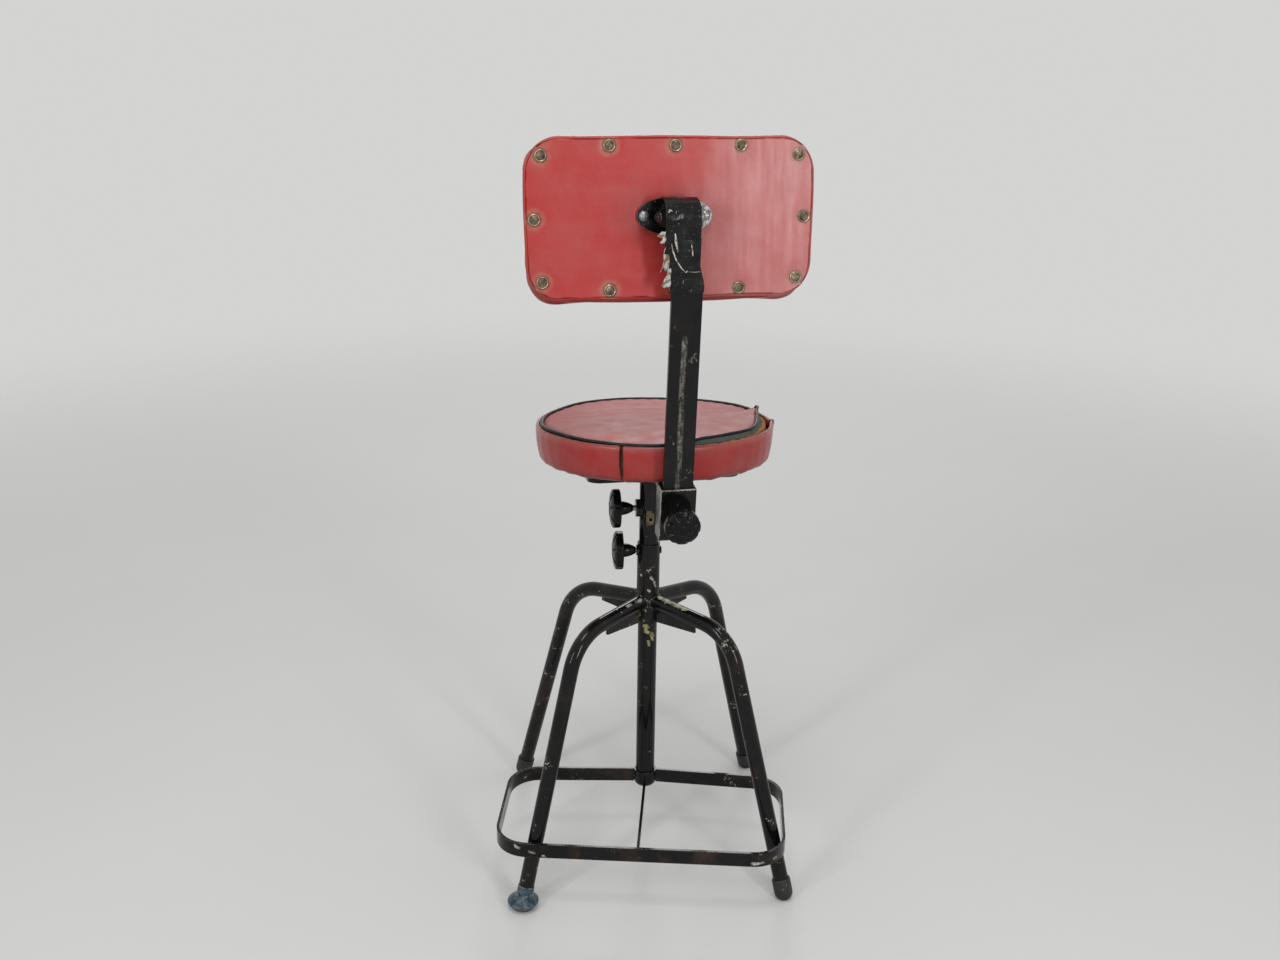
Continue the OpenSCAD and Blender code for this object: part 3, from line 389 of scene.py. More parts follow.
class Recipe:
    """A material under construction: adds nodes, sets their inputs and links them."""

    def __init__(self, name):
        self.material = bpy.data.materials.new(name)
        self.material.use_nodes = True
        self.tree = self.material.node_tree
        self.shader = self.tree.nodes["Principled BSDF"]

    def add(self, kind, inputs=None, **settings):
        node = self.tree.nodes.new(kind)
        for key, value in settings.items():
            setattr(node, key, value)
        for key, value in (inputs or {}).items():
            self.feed(node.inputs[key], value)
        return node

    def feed(self, socket, value):
        if isinstance(value, bpy.types.NodeSocket):
            self.tree.links.new(value, socket)
        elif hasattr(value, "__len__") and len(value) == 3 and len(socket.default_value) == 4:
            socket.default_value = (*value, 1)
        else:
            socket.default_value = value

    def place(self):
        return self.add("ShaderNodeTexCoord").outputs["Object"]

    def noise(self, scale, detail=4.0, roughness=0.55, vector=None, distortion=0.0):
        return self.add("ShaderNodeTexNoise", {
            "Vector": vector or self.place(), "Scale": scale, "Detail": detail,
            "Roughness": roughness, "Distortion": distortion,
        }).outputs["Fac"]

    def streaks(self, scale, detail, roughness=0.55, angle=(0, 0, 0)):
        """Noise on Object coordinates that are turned and then scaled along each axis."""
        turned = self.add("ShaderNodeMapping", {"Vector": self.place(), "Rotation": angle}).outputs[0]
        scaled = self.add("ShaderNodeMapping", {"Vector": turned, "Scale": scale}).outputs[0]
        return self.noise(1.0, detail, roughness, vector=scaled)

    def cells(self, scale):
        return self.add("ShaderNodeTexVoronoi", {"Vector": self.place(), "Scale": scale}).outputs["Distance"]

    def range(self, value, low, high, to_low=0.0, to_high=1.0):
        return self.add("ShaderNodeMapRange", {
            "Value": value, "From Min": low, "From Max": high, "To Min": to_low, "To Max": to_high,
        }).outputs[0]

    def math(self, operation, first, second=0.0):
        """Works out an operation on two values and keeps a sum or a product from 0 to 1."""
        node = self.add("ShaderNodeMath", operation=operation, use_clamp=operation in ("ADD", "MULTIPLY"))
        self.feed(node.inputs[0], first)
        self.feed(node.inputs[1], second)
        return node.outputs[0]

    def plus(self, first, second):
        return self.math("ADD", first, second)

    def minus(self, first, second):
        return self.math("SUBTRACT", first, second)

    def times(self, first, second):
        return self.math("MULTIPLY", first, second)

    def most(self, first, second):
        return self.math("MAXIMUM", first, second)

    def shifted(self, distance, amount):
        """A distance with an amount added, which may come out below 0."""
        return self.add("ShaderNodeMath", {0: distance, 1: amount}, operation="ADD").outputs[0]

    def mix(self, share, first, second):
        node = self.add("ShaderNodeMix", data_type="RGBA")
        self.feed(node.inputs[0], share)
        self.feed(node.inputs[6], first)
        self.feed(node.inputs[7], second)
        return node.outputs[2]

    def stored(self, name):
        return self.add("ShaderNodeAttribute", attribute_name=name).outputs["Fac"]

    def edges(self, radius):
        """1 on the edges of the shape and 0 on its faces, from the rounded normal."""
        rounded = self.add("ShaderNodeBevel", {"Radius": radius}, samples=6).outputs[0]
        flat = self.add("ShaderNodeNewGeometry").outputs["Normal"]
        match = self.vector("DOT_PRODUCT", rounded, flat)["Value"]
        return self.range(match, 0.998, 0.86)

    def vector(self, operation, first, second=(0, 0, 0), scale=None):
        inputs = {0: first, 1: second}
        if scale is not None:
            inputs["Scale"] = scale
        return self.add("ShaderNodeVectorMath", inputs, operation=operation).outputs

    def near(self, start, end, radius):
        """1 on a line between two points of the stool, falling raggedly to 0 at the radius."""
        run = Vector(end) - Vector(start)
        away = self.vector("SUBTRACT", self.place(), tuple(start))[0]
        share = self.range(self.vector("DOT_PRODUCT", away, tuple(run))["Value"], 0.0, run.length_squared)
        foot = self.vector("SCALE", tuple(run), scale=share)[0]
        distance = self.vector("LENGTH", self.vector("SUBTRACT", away, foot)[0])["Value"]
        ragged = self.range(self.noise(1.1 / radius, 5, 0.72), 0.25, 0.75, -0.75 * radius, 0.75 * radius)
        return self.range(self.shifted(distance, ragged), radius, radius * 0.35)

    def bump(self, height, strength, distance=0.001, normal=None):
        inputs = {"Height": height, "Strength": strength, "Distance": distance}
        if normal is not None:
            inputs["Normal"] = normal
        return self.add("ShaderNodeBump", inputs).outputs[0]

    def surface(self, **inputs):
        for key, value in inputs.items():
            self.feed(self.shader.inputs[key.replace("_", " ")], value)
        return self.material


def black_paint(name, chips, stain=0.3, spots=(), gloss=0.07, stripe=None, bare_colour=None):
    """Gloss black paint. chips sets how much is lost on edges and faces; spots are bare patches.

    stripe is the middle x, half width, lowest and highest z of a rubbed line on the rear side.
    """
    finish = sizes_of("stool_colours")
    mat = Recipe(name)
    grain = mat.noise(260, 6, 0.7)
    patch = mat.noise(38, 3, 0.6, distortion=0.6)
    speck = mat.noise(620, 5, 0.62)
    on_edges = mat.times(mat.edges(0.0011), mat.range(grain, 0.62 - 0.16 * chips, 0.68))
    lost_patches = mat.times(mat.range(patch, 0.64 - 0.05 * chips, 0.68), mat.range(grain, 0.54, 0.58))
    lost_specks = mat.range(speck, 0.745 - 0.035 * chips, 0.76)
    bare = mat.most(mat.most(on_edges, lost_patches), lost_specks)
    for spot_line in spots:
        spot = mat.near(*spot_line)
        torn = mat.range(mat.plus(mat.times(grain, 0.6), mat.times(spot, 0.4)), 0.50, 0.56)
        bare = mat.most(bare, mat.times(torn, mat.range(spot, 0.0, 0.25)))
    if stripe is not None:
        bare = mat.most(bare, rubbed_line(mat, *stripe))
    rust_near = mat.times(mat.range(mat.noise(24, 4, 0.6), 0.50, 0.72), stain)
    dusty = mat.times(mat.range(mat.noise(9, 5, 0.65), 0.42, 0.75), 0.03)
    base = mat.mix(rust_near, finish.paint, finish.rust)
    base = mat.mix(dusty, base, (0.16, 0.15, 0.14))
    chip = mat.mix(mat.range(mat.noise(90, 3), 0.42, 0.60), bare_colour or finish.primer, (0.20, 0.17, 0.12))
    rough_paint = mat.range(mat.noise(14, 6, 0.7), 0.3, 0.75, gloss, gloss + 0.13)
    peel = mat.bump(mat.noise(170, 2), 0.10, 0.0006)
    sunk = mat.bump(mat.minus(1.0, bare), 0.35, 0.0004, peel)
    return mat.surface(
        Base_Color=mat.mix(bare, base, chip),
        Roughness=mat.plus(rough_paint, mat.times(bare, 0.35)),
        Metallic=mat.times(bare, 0.35),
        Specular_IOR_Level=mat.plus(0.24, mat.times(bare, 0.2)),
        Normal=sunk,
    )


def rubbed_line(mat, middle, half_width, low, high):
    """A speckled upright line down the rear of the bar, broken here and there and fading at its top."""
    split = mat.add("ShaderNodeSeparateXYZ", {"Vector": mat.place()}).outputs
    wander = mat.range(mat.streaks((1, 1, 9), 2), 0.3, 0.7, -0.0012, 0.0012)
    off = mat.math("ABSOLUTE", mat.minus(mat.minus(split["X"], middle), wander))
    inside = mat.range(off, half_width, half_width * 0.55)
    along = mat.times(mat.range(split["Z"], high, high - 0.012), mat.range(split["Z"], low, low + 0.02))
    normal = mat.add("ShaderNodeNewGeometry").outputs["Normal"]
    rearward = mat.range(mat.add("ShaderNodeSeparateXYZ", {"Vector": normal}).outputs["Y"], 0.6, 0.8)
    broken = mat.range(mat.streaks((300, 300, 34), 3, 0.6), 0.40, 0.56, 0.12, 1.0)
    speckled = mat.range(mat.noise(430, 5, 0.7), 0.42, 0.56)
    broken = mat.times(broken, mat.range(split["Z"], 0.68, 0.72, 0.62, 1.0))
    seen = mat.times(mat.times(inside, along), mat.times(rearward, broken))
    return mat.times(seen, mat.plus(0.15, mat.times(speckled, 0.75)))


def leatherette(name, fade, weave=0.16, streaks=0.4, tone=1.0, gloss=0.30, polish=0.2):
    """Red embossed leatherette. fade is the share of rubbed, dusty colour and tone scales its brightness.

    gloss is its lowest roughness and polish the weight of its topcoat, which is streaked up and down. A tone
    below 1 paints shade: it gives a darker copy of the same leatherette. The piece stores how much dirt and
    painted shade, tan bloom and sheen each point carries. Where it stores sheen the topcoat shows and the colour
    is painted paler as a sheen, the more so the higher polish is.
    """
    finish = sizes_of("stool_colours")
    mat = Recipe(name)
    cloud = mat.noise(13, 5, 0.6)
    wiped = mat.streaks((9, 60, 60), 5, 0.6)
    fine = mat.noise(420, 4, 0.6)
    clouded = mat.range(cloud, 0.30, 0.72, fade - 0.22, fade + 0.22)
    rubbed = mat.plus(clouded, mat.range(wiped, 0.45, 0.75, 0.0, streaks))
    base = mat.mix(rubbed, toned(finish.leatherette, tone), toned(finish.faded, tone))
    base = mat.mix(mat.range(fine, 0.35, 0.75, 0.0, 0.26), base, toned(finish.leatherette, 0.60 * tone))
    bloom = mat.times(mat.stored("bloom"), mat.range(mat.noise(120, 4, 0.6), 0.35, 0.65, 0.35, 1.0))
    base = mat.mix(bloom, base, finish.bloom)
    # Painted sheen: the colour is made paler where the piece stores sheen
    base = mat.mix(mat.times(mat.stored("rub"), 0.45 * polish), base, toned(finish.faded, tone))
    # Dirt and painted shade: the stored amount darkens the colour, broken up by noise
    dirt_and_shade_noise = mat.range(mat.noise(150, 5, 0.65), 0.30, 0.62, 0.25, 1.0)
    dirt_and_shade_share = mat.times(mat.stored("dirt_and_shade"), dirt_and_shade_noise)
    base = mat.mix(dirt_and_shade_share, base, finish.dirt_and_shade)
    specks = mat.range(mat.noise(310, 2, 0.5), 0.735, 0.76, 0.0, 0.55)
    base = mat.mix(specks, base, finish.dirt_and_shade)
    threads = []
    for angle in (0.0, math.radians(90)):
        turned = mat.add("ShaderNodeMapping", {"Vector": mat.place(), "Rotation": (0, angle, 0)}).outputs[0]
        threads.append(mat.add("ShaderNodeTexWave", {
            "Vector": turned, "Scale": 260.0, "Distortion": 1.4, "Detail": 2.0, "Detail Scale": 1.5,
        }).outputs["Fac"])
    emboss = mat.bump(mat.times(threads[0], threads[1]), weave, 0.0004)
    grained = mat.bump(mat.noise(900, 3), 0.12, 0.0003, emboss)
    softly = mat.bump(mat.noise(30, 3), 0.22, 0.0022, grained)
    combed = mat.streaks((95, 95, 7), 4, 0.65)
    return mat.surface(
        Base_Color=base,
        Roughness=mat.range(mat.noise(46, 4), 0.3, 0.7, gloss, gloss + 0.12),
        Specular_IOR_Level=0.30,
        Coat_Weight=mat.times(mat.range(combed, 0.35, 0.65, 0.6 * polish, polish), mat.stored("rub")),
        Coat_Roughness=mat.range(combed, 0.3, 0.7, 0.40, 0.32),
        Coat_Normal=mat.bump(mat.times(threads[0], threads[1]), 0.06, 0.0004),
        Normal=softly,
    )


def piping_vinyl():
    mat = Recipe("welt_black_vinyl")
    worn = mat.range(mat.noise(120, 4), 0.48, 0.72, 0.0, 0.6)
    base = mat.mix(worn, (0.008, 0.007, 0.007), (0.050, 0.040, 0.038))
    return mat.surface(
        Base_Color=base,
        Specular_IOR_Level=0.25,
        Roughness=mat.range(mat.noise(200, 3), 0.3, 0.7, 0.26, 0.44),
        Normal=mat.bump(mat.noise(420, 3), 0.22, 0.0005),
    )


def foam_material():
    finish = sizes_of("stool_colours")
    mat = Recipe("aged_foam")
    pores = mat.cells(620)
    base = mat.mix(mat.noise(60, 5), finish.foam, (0.36, 0.15, 0.05))
    return mat.surface(
        # Painted shade: the pit of each pore is darkened
        Base_Color=mat.mix(mat.range(pores, 0.0, 0.35, 0.6, 0.0), base, (0.20, 0.08, 0.03)),
        Roughness=0.95,
        Specular_IOR_Level=0.15,
        Normal=mat.bump(pores, 0.7, 0.001),
    )


def lining_material():
    mat = Recipe("grey_lining")
    weave = mat.streaks((700, 700, 1500), 3)
    return mat.surface(
        Base_Color=mat.mix(mat.noise(80, 4), (0.045, 0.050, 0.047), (0.125, 0.130, 0.118)),
        Roughness=0.85,
        Normal=mat.bump(weave, 0.5, 0.0006),
    )


def frayed_cloth():
    mat = Recipe("frayed_cloth")
    threads = mat.streaks((900, 900, 260), 5, 0.7)
    return mat.surface(
        Base_Color=mat.mix(mat.range(threads, 0.50, 0.62), (0.018, 0.008, 0.005), (0.17, 0.055, 0.022)),
        Roughness=0.9,
        Normal=mat.bump(threads, 0.7, 0.001),
    )


def moulded_black():
    mat = Recipe("moulded_black")
    scuffed = mat.range(mat.noise(240, 5, 0.65), 0.60, 0.74, 0.0, 0.30)
    return mat.surface(
        Base_Color=mat.mix(scuffed, (0.004, 0.004, 0.004), (0.030, 0.028, 0.026)),
        Roughness=mat.range(mat.noise(60, 5), 0.3, 0.7, 0.13, 0.28),
        Specular_IOR_Level=0.20,
        Normal=mat.bump(mat.noise(500, 3), 0.06, 0.0004),
    )


def bare_metal(name, light, dark, dull=0.32):
    mat = Recipe(name)
    tarnish = mat.range(mat.noise(130, 5, 0.65), 0.40, 0.66)
    worn_edges = mat.edges(0.0006)
    base = mat.mix(tarnish, light, dark)
    base = mat.mix(mat.times(worn_edges, 0.7), base, tuple(min(1.0, 1.35 * c) for c in light))
    return mat.surface(
        Base_Color=base,
        Metallic=1.0,
        Roughness=mat.range(tarnish, 0.0, 1.0, dull, dull + 0.28),
        Normal=mat.bump(mat.noise(700, 4), 0.25, 0.0004),
    )


def rubber_material():
    mat = Recipe("worn_rubber")
    dusty = mat.range(mat.noise(70, 5, 0.7), 0.45, 0.75, 0.0, 0.45)
    specks = mat.range(mat.noise(420, 3), 0.70, 0.73)
    base = mat.mix(dusty, (0.012, 0.012, 0.012), (0.055, 0.052, 0.048))
    return mat.surface(
        Base_Color=mat.mix(specks, base, (0.42, 0.42, 0.38)),
        Roughness=mat.range(mat.noise(50, 4), 0.3, 0.7, 0.42, 0.68),
        Normal=mat.bump(mat.noise(260, 4), 0.25, 0.0006),
    )


def foot_metal():
    """Worn blue-grey paint of the flared metal foot."""
    mat = Recipe("blue_grey_foot")
    worn = mat.times(mat.edges(0.0016), mat.range(mat.noise(220, 5), 0.35, 0.55))
    blotch = mat.range(mat.noise(110, 5, 0.7), 0.42, 0.62)
    base = mat.mix(blotch, (0.016, 0.040, 0.062), (0.110, 0.150, 0.165))
    return mat.surface(
        Base_Color=mat.mix(worn, base, (0.48, 0.52, 0.52)),
        Metallic=0.35,
        Roughness=mat.range(blotch, 0, 1, 0.34, 0.55),
        Normal=mat.bump(mat.noise(300, 4), 0.3, 0.0006),
    )


def plywood():
    mat = Recipe("plywood")
    grain = mat.streaks((22, 260, 900), 6, 0.6)
    return mat.surface(
        Base_Color=mat.mix(grain, (0.33, 0.20, 0.10), (0.53, 0.37, 0.21)),
        Roughness=0.72,
        Normal=mat.bump(grain, 0.25, 0.0005),
    )


def tape_material():
    """Glossy black insulating tape with pale scratches."""
    mat = Recipe("insulating_tape")
    scratch = mat.streaks((560, 160, 38), 2, 0.5, (0, math.radians(14), 0))
    long_scratch = mat.range(scratch, 0.735, 0.755)
    patchy = mat.range(mat.noise(34, 5, 0.7), 0.40, 0.66)
    rubbed = mat.times(mat.range(mat.noise(330, 5, 0.7), 0.62, 0.70), 0.5)
    base = mat.mix(mat.times(patchy, 0.4), (0.0035, 0.0035, 0.004), (0.020, 0.021, 0.023))
    base = mat.mix(mat.most(long_scratch, rubbed), base, (0.42, 0.43, 0.43))
    crinkle = mat.bump(mat.streaks((90, 90, 260), 4), 0.25, 0.0009)
    return mat.surface(
        Base_Color=base,
        Specular_IOR_Level=0.28,
        Roughness=mat.range(patchy, 0, 1, 0.12, 0.30),
        Normal=mat.bump(mat.noise(520, 3), 0.08, 0.0003, crinkle),
    )


# Pale backing of the torn tape ends, and the colour of the painted glint ribbons
def pale_backing_and_glints():
    mat = Recipe("tape_backing_and_glints")
    return mat.surface(
        Base_Color=mat.mix(mat.range(mat.noise(170, 4), 0.46, 0.56), (0.56, 0.58, 0.56), (0.26, 0.16, 0.08)),
        Roughness=0.6,
        Normal=mat.bump(mat.noise(400, 3), 0.4, 0.0006),
    )


def half_painted_zinc(middle):
    """Zinc whose paint has stayed on the side of +X from the middle, rubbed off at its rim."""
    finish = sizes_of("stool_colours")
    mat = Recipe("half_painted_zinc")
    across = mat.add("ShaderNodeSeparateXYZ", {"Vector": mat.place()}).outputs["X"]
    ragged = mat.shifted(across, mat.range(mat.noise(140, 5, 0.65), 0.3, 0.7, -0.005, 0.005))
    painted = mat.range(ragged, middle - 0.001, middle + 0.001)
    rubbed = mat.most(mat.times(mat.edges(0.0010), 0.9), mat.range(mat.noise(420, 5), 0.63, 0.66))
    kept = mat.times(painted, mat.minus(1.0, rubbed))
    zinc = mat.mix(mat.range(mat.noise(170, 5, 0.6), 0.40, 0.60), (0.27, 0.28, 0.28), (0.07, 0.07, 0.07))
    return mat.surface(
        Base_Color=mat.mix(kept, zinc, finish.paint),
        Metallic=mat.times(mat.minus(1.0, kept), 0.75),
        Roughness=mat.range(kept, 0, 1, 0.40, 0.14),
        Specular_IOR_Level=0.28,
        Normal=mat.bump(mat.noise(500, 4), 0.2, 0.0004),
    )


def weld_metal():
    finish = sizes_of("stool_colours")
    mat = Recipe("painted_weld")
    bare = mat.range(mat.noise(330, 5, 0.65), 0.56, 0.64)
    return mat.surface(
        Base_Color=mat.mix(bare, finish.paint, toned(finish.primer, 0.7)),
        Roughness=mat.range(bare, 0, 1, 0.24, 0.55),
        Normal=mat.bump(mat.noise(420, 4), 0.5, 0.0008),
    )


# The seat

def tear_share(angle):
    """0 where the seat's seam holds, rising to 1 in the middle of the tear."""
    seat = sizes_of("stool_seat")
    angle %= 2 * math.pi
    opens = smoothstep(seat.tear_start, seat.tear_start + math.radians(16), angle)
    widens = smoothstep(seat.tear_end - math.radians(58), seat.tear_end - math.radians(24), angle)
    closes = smoothstep(seat.tear_end, seat.tear_end - math.radians(13), angle)
    return (0.42 * opens + 0.58 * widens) * closes


def welt_line(angle):
    """Radius and height of the welt's middle at an angle about the seat."""
    seat = sizes_of("stool_seat")
    torn = tear_share(angle)
    wander = 0.0009 * math.sin(5 * angle + 1.0) + 0.0006 * math.sin(11 * angle)
    kink = math.exp(-(((angle % (2 * math.pi)) - math.radians(178)) / math.radians(4.5)) ** 2)
    radius = seat.welt_radius + wander - torn * seat.tear_pull + 0.006 * kink
    height = seat.welt_height + 0.0006 * math.sin(4 * angle) + torn * seat.tear_lift + 0.0035 * kink
    return radius, height


class STOOL_OT_seat_cover(bpy.types.Operator):
    """Make the faded top cover of the seat, crowned, puckered at its seam and drawn in at the tear"""

    bl_idname = "stool.seat_cover"
    bl_label = "Seat Cover"

    def execute(self, context):
        seat = sizes_of("stool_seat")
        rings = 48
        bm = spun([(seat.welt_radius * (1 - (1 - k / rings) ** 1.4), 0) for k in range(rings + 1)], 224)

        def crowned(point):
            share = min(1.0, point.xy.length / seat.welt_radius)
            angle = angle_of(point)
            edge_radius, edge_height = welt_line(angle)
            edge_radius -= seat.welt_thickness * 0.30
            radius = share * (seat.welt_radius + (edge_radius - seat.welt_radius) * share ** 3)
            rise = seat.crown * (1 - share ** 2.6)
            lift = (edge_height - seat.welt_height) * share ** 5
            pucker = 0.0006 * share ** 14 * math.sin(46 * angle + 3 * math.sin(3 * angle))
            dent = -0.0030 * math.exp(-((share - 0.35) / 0.35) ** 2) + 0.0016 * rough(point, 9, 3.0)
            turned_down = -0.0018 * smoothstep(0.965, 1.0, share)
            height = seat.welt_height + rise + lift + pucker + dent * (1 - share ** 6) + turned_down
            return at_angle(radius, angle, height)

        shape(bm, crowned)
        place = seat_place()
        # tone 0.82 is painted shade: the seat top is a darker copy of the leatherette, as if less lit from above
        material = leatherette(
            "seat_leatherette", fade=0.34, weave=0.10, streaks=0.60, tone=0.82, gloss=0.42, polish=0.0
        )
        piece = piece_of("seat_top_cover", bm, material, place)
        back = place.inverted()

        # Darker towards the welt
        def edge_darkening(point):
            share = (back @ point).xy.length / seat.welt_radius
            return 0.55 * smoothstep(0.90, 1.0, share)

        soil(piece, "dirt_and_shade", edge_darkening)
        belongs(thickness(piece, 0.0016), "seat", "faded_leatherette", "seat_cover")
        return {"FINISHED"}


class STOOL_OT_seat_band(bpy.types.Operator):
    """Make the seat's side band, with its split upright seam and its hem under the board"""

    bl_idname = "stool.seat_band"
    bl_label = "Seat Side Band"

    def execute(self, context):
        seat = sizes_of("stool_seat")
        top = seat.welt_height
        widest = seat.widest_radius
        profile = [(0.150, -0.0016), (0.155, -0.0019), (0.160, -0.0015), (0.1633, 0.0004), (0.1652, 0.0035)]
        rows = 12
        for k in range(1, rows):
            share = k / rows
            bulge = 1 - (1 - share) ** 2.2
            profile.append((0.1652 + (widest - 0.1655) * bulge, 0.0035 + (top - 0.0095) * share))
        profile += [
            (widest - 0.0003, top - 0.0055), (widest - 0.0008, top - 0.0036), (widest - 0.0018, top - 0.0022),
            (widest - 0.0034, top - 0.0014), (widest - 0.0052, top - 0.0016), (widest - 0.0064, top - 0.0034),
            (widest - 0.0069, top - 0.0085), (widest - 0.0072, top - 0.0140),
        ]
        half_gap = seat.seam_gap / 2 / widest
        bm = spun(profile, 288, start=seat.seam_turn + half_gap, sweep=2 * math.pi - 2 * half_gap)

        def worn(point):
            angle = angle_of(point)
            radius = point.xy.length
            height = point.z
            up = min(1.0, max(0.0, height / top))
            from_seam = math.remainder(angle - seat.seam_turn, 2 * math.pi)
            side = 1.0 if from_seam > 0 else -1.0
            close = math.exp(-abs(from_seam) / 0.030)
            open_share = smoothstep(0.0, 0.45, up) * (1 - 0.35 * smoothstep(0.75, 1.0, up))
            frayed = 0.0007 * rough((side, point.z, 0), 240, 3.0) / widest
            angle -= side * (close * half_gap * (1 - open_share) * 0.80 + frayed * close)
            radius += 0.0012 * close * math.sin(math.pi * up) - 0.0045 * math.exp(-abs(from_seam) / 0.006)
            torn = tear_share(angle)
            flare = math.exp(-((math.remainder(angle - math.radians(170), 2 * math.pi)) / 0.050) ** 2)
            radius += (0.0014 * torn + 0.0030 * flare) * up ** 3
            height += (-0.0012 * torn + 0.0040 * flare) * up ** 6
            radius += 0.0008 * rough((point.x, point.y, point.z * 0.4), 26, 5.0)
            radius += 0.0002 * math.sin(math.pi * up) * math.sin(38 * angle + 2 * math.sin(5 * angle))
            hem = 1 - smoothstep(0.0, 0.16, up)
            height += hem * 0.0014 * rough((point.x, point.y, 0), 55, 9.0)
            return at_angle(radius, angle, height)

        shape(bm, worn)
        place = seat_place()
        # tone 0.80 is painted shade: the band is a darker copy of the leatherette, for the lamps' falloff
        material = leatherette(
            "band_leatherette", fade=0.14, weave=0.10, streaks=0.28, tone=0.80, gloss=0.22, polish=0.45
        )
        piece = piece_of("seat_side_band", bm, material, place)
        back = place.inverted()

        # Darker at the hem, along the top fold and round the split seam
        def band_darkening(point):
            local = back @ point
            angle = angle_of(local)
            from_seam = abs(math.remainder(angle - seat.seam_turn, 2 * math.pi))
            low = 1 - smoothstep(0.0, 0.008, local.z)
            high = smoothstep(top - 0.0045, top, local.z)
            return max(0.75 * low, 0.85 * high, 0.8 * math.exp(-from_seam / 0.012))

        soil(piece, "dirt_and_shade", band_darkening)
        # Painted highlight: the band's top shoulder is made paler and carries the topcoat
        soil(piece, "rub", lambda point: smoothstep(top - 0.012, top - 0.005, (back @ point).z))
        belongs(thickness(piece, 0.0015), "seat", "red_leatherette", "seat_band")
        return {"FINISHED"}


class STOOL_OT_seat_welt(bpy.types.Operator):
    """Make the black welt round the seat's top, drawn in and lifted where its seam has torn"""

    bl_idname = "stool.seat_welt"
    bl_label = "Seat Welt"

    def execute(self, context):
        seat = sizes_of("stool_seat")
        bm = spun_ring(seat.welt_radius, seat.welt_thickness / 2, 14, 320)

        def follow(point):
            angle = angle_of(point)
            radius, height = welt_line(angle)
            out = point.xy.length - seat.welt_radius
            fat = 1 + 0.10 * rough(point, 60, 2.0) - 0.25 * tear_share(angle)
            radius += out * fat
            return at_angle(radius, angle, height + point.z * fat)

        shape(bm, follow)
        piece = piece_of("seat_welt", bm, piping_vinyl(), seat_place())
        belongs(piece, "seat", "piping", "seat_piping")
        return {"FINISHED"}


class STOOL_OT_seat_filling(bpy.types.Operator):
    """Make the foam and the grey lining that show in the seat's tear"""

    bl_idname = "stool.seat_filling"
    bl_label = "Seat Filling"

    def execute(self, context):
        seat = sizes_of("stool_seat")
        top = seat.welt_height
        board = 0.012
        inner = 0.1600
        profile = [
            (0, board), (inner - 0.002, board), (inner, board + 0.003), (inner, top - 0.010),
            (inner - 0.0015, top - 0.0035), (inner - 0.006, top - 0.0010), (inner - 0.016, top - 0.0006),
        ]
        profile += [(radius, top + 0.0035 * (1 - radius / 0.14)) for radius in (0.13, 0.09, 0.04, 0.0)]
        bm = spun(profile, 200)

        def crumbled(point):
            away = point.xy.length
            worn = smoothstep(0.150, inner, away) * smoothstep(0.030, 0.040, point.z)
            bulge = tear_share(angle_of(point))
            height = point.z + worn * (0.0012 * rough(point, 90, 4.0) + 0.0022 * bulge)
            return Vector((point.x, point.y, height))

        shape(bm, crumbled)
        foam = piece_of("seat_foam_block", bm, foam_material(), seat_place(), sharp=60)
        belongs(foam, "seat", "foam", "seat_foam")

        half_turn = math.radians(1.7)
        frayed = spun([(0.1640, 0.004), (0.1660, 0.020), (0.1662, top - 0.012), (0.1640, top - 0.005)], 12,
                      start=seat.seam_turn - half_turn, sweep=2 * half_turn)
        strip = piece_of("seat_seam_backing", frayed, frayed_cloth(), seat_place())
        belongs(thickness(strip, 0.0008), "seat", "piping")

        start = seat.tear_start - math.radians(2)
        sweep = seat.tear_end + math.radians(3) - start
        rows = 6
        bm = spun([(0.150, k / rows) for k in range(rows + 1)], 150, start=start, sweep=sweep)

        def skirt(point):
            angle = angle_of(point)
            radius, height = welt_line(angle)
            torn = tear_share(angle)
            short = smoothstep(math.radians(128), math.radians(168), angle)
            low_radius = radius + (seat.welt_radius - 0.0022 - 0.0050 * short - radius) * min(1.0, 3 * torn)
            low_height = top - 0.0022 + 0.0006 * math.sin(31 * angle) + 0.0010 * short
            share = point.z
            fold = 0.0008 * math.sin(44 * angle + 2.4 * math.sin(9 * angle)) * (1 - share) * torn
            at = low_radius + (radius - low_radius) * share ** 0.8 + fold
            up = low_height + (height - 0.001 - low_height) * share
            return at_angle(at, angle, up)

        shape(bm, skirt)
        lining = piece_of("seat_lining", bm, lining_material(), seat_place())
        belongs(thickness(lining, 0.0012, 0.0), "seat", "piping")
        return {"FINISHED"}


# The backrest

PANEL_THICKNESS = 0.0042
# How deep the rear of the cushion is held still by its board
HELD_DEPTH = 0.010
CLOTH_STIFFNESS = 12
CLOTH_FRAMES = 20


def round_slab(width, height, corner, thick, columns, rows):
    """A closed slab with round corners, its face on z = 0 and its body below."""
    bm = bmesh.new()
    bmesh.ops.create_grid(bm, x_segments=columns, y_segments=rows, size=1.0)

    def rounded(point):
        x, y = point.x * width / 2, point.y * height / 2
        in_x, in_y = abs(x) - (width / 2 - corner), abs(y) - (height / 2 - corner)
        if in_x > 0 and in_y > 0:
            u, v = in_x / corner, in_y / corner
            x += side_of(x) * corner * u * (math.sqrt(1 - v * v / 2) - 1)
            y += side_of(y) * corner * v * (math.sqrt(1 - u * u / 2) - 1)
        return Vector((x, y, 0))

    shape(bm, rounded)
    made = bmesh.ops.extrude_face_region(bm, geom=bm.faces[:])
    bmesh.ops.translate(bm, vec=(0, 0, -thick), verts=only(made["geom"], bmesh.types.BMVert))
    bmesh.ops.recalc_face_normals(bm, faces=bm.faces)
    return bm


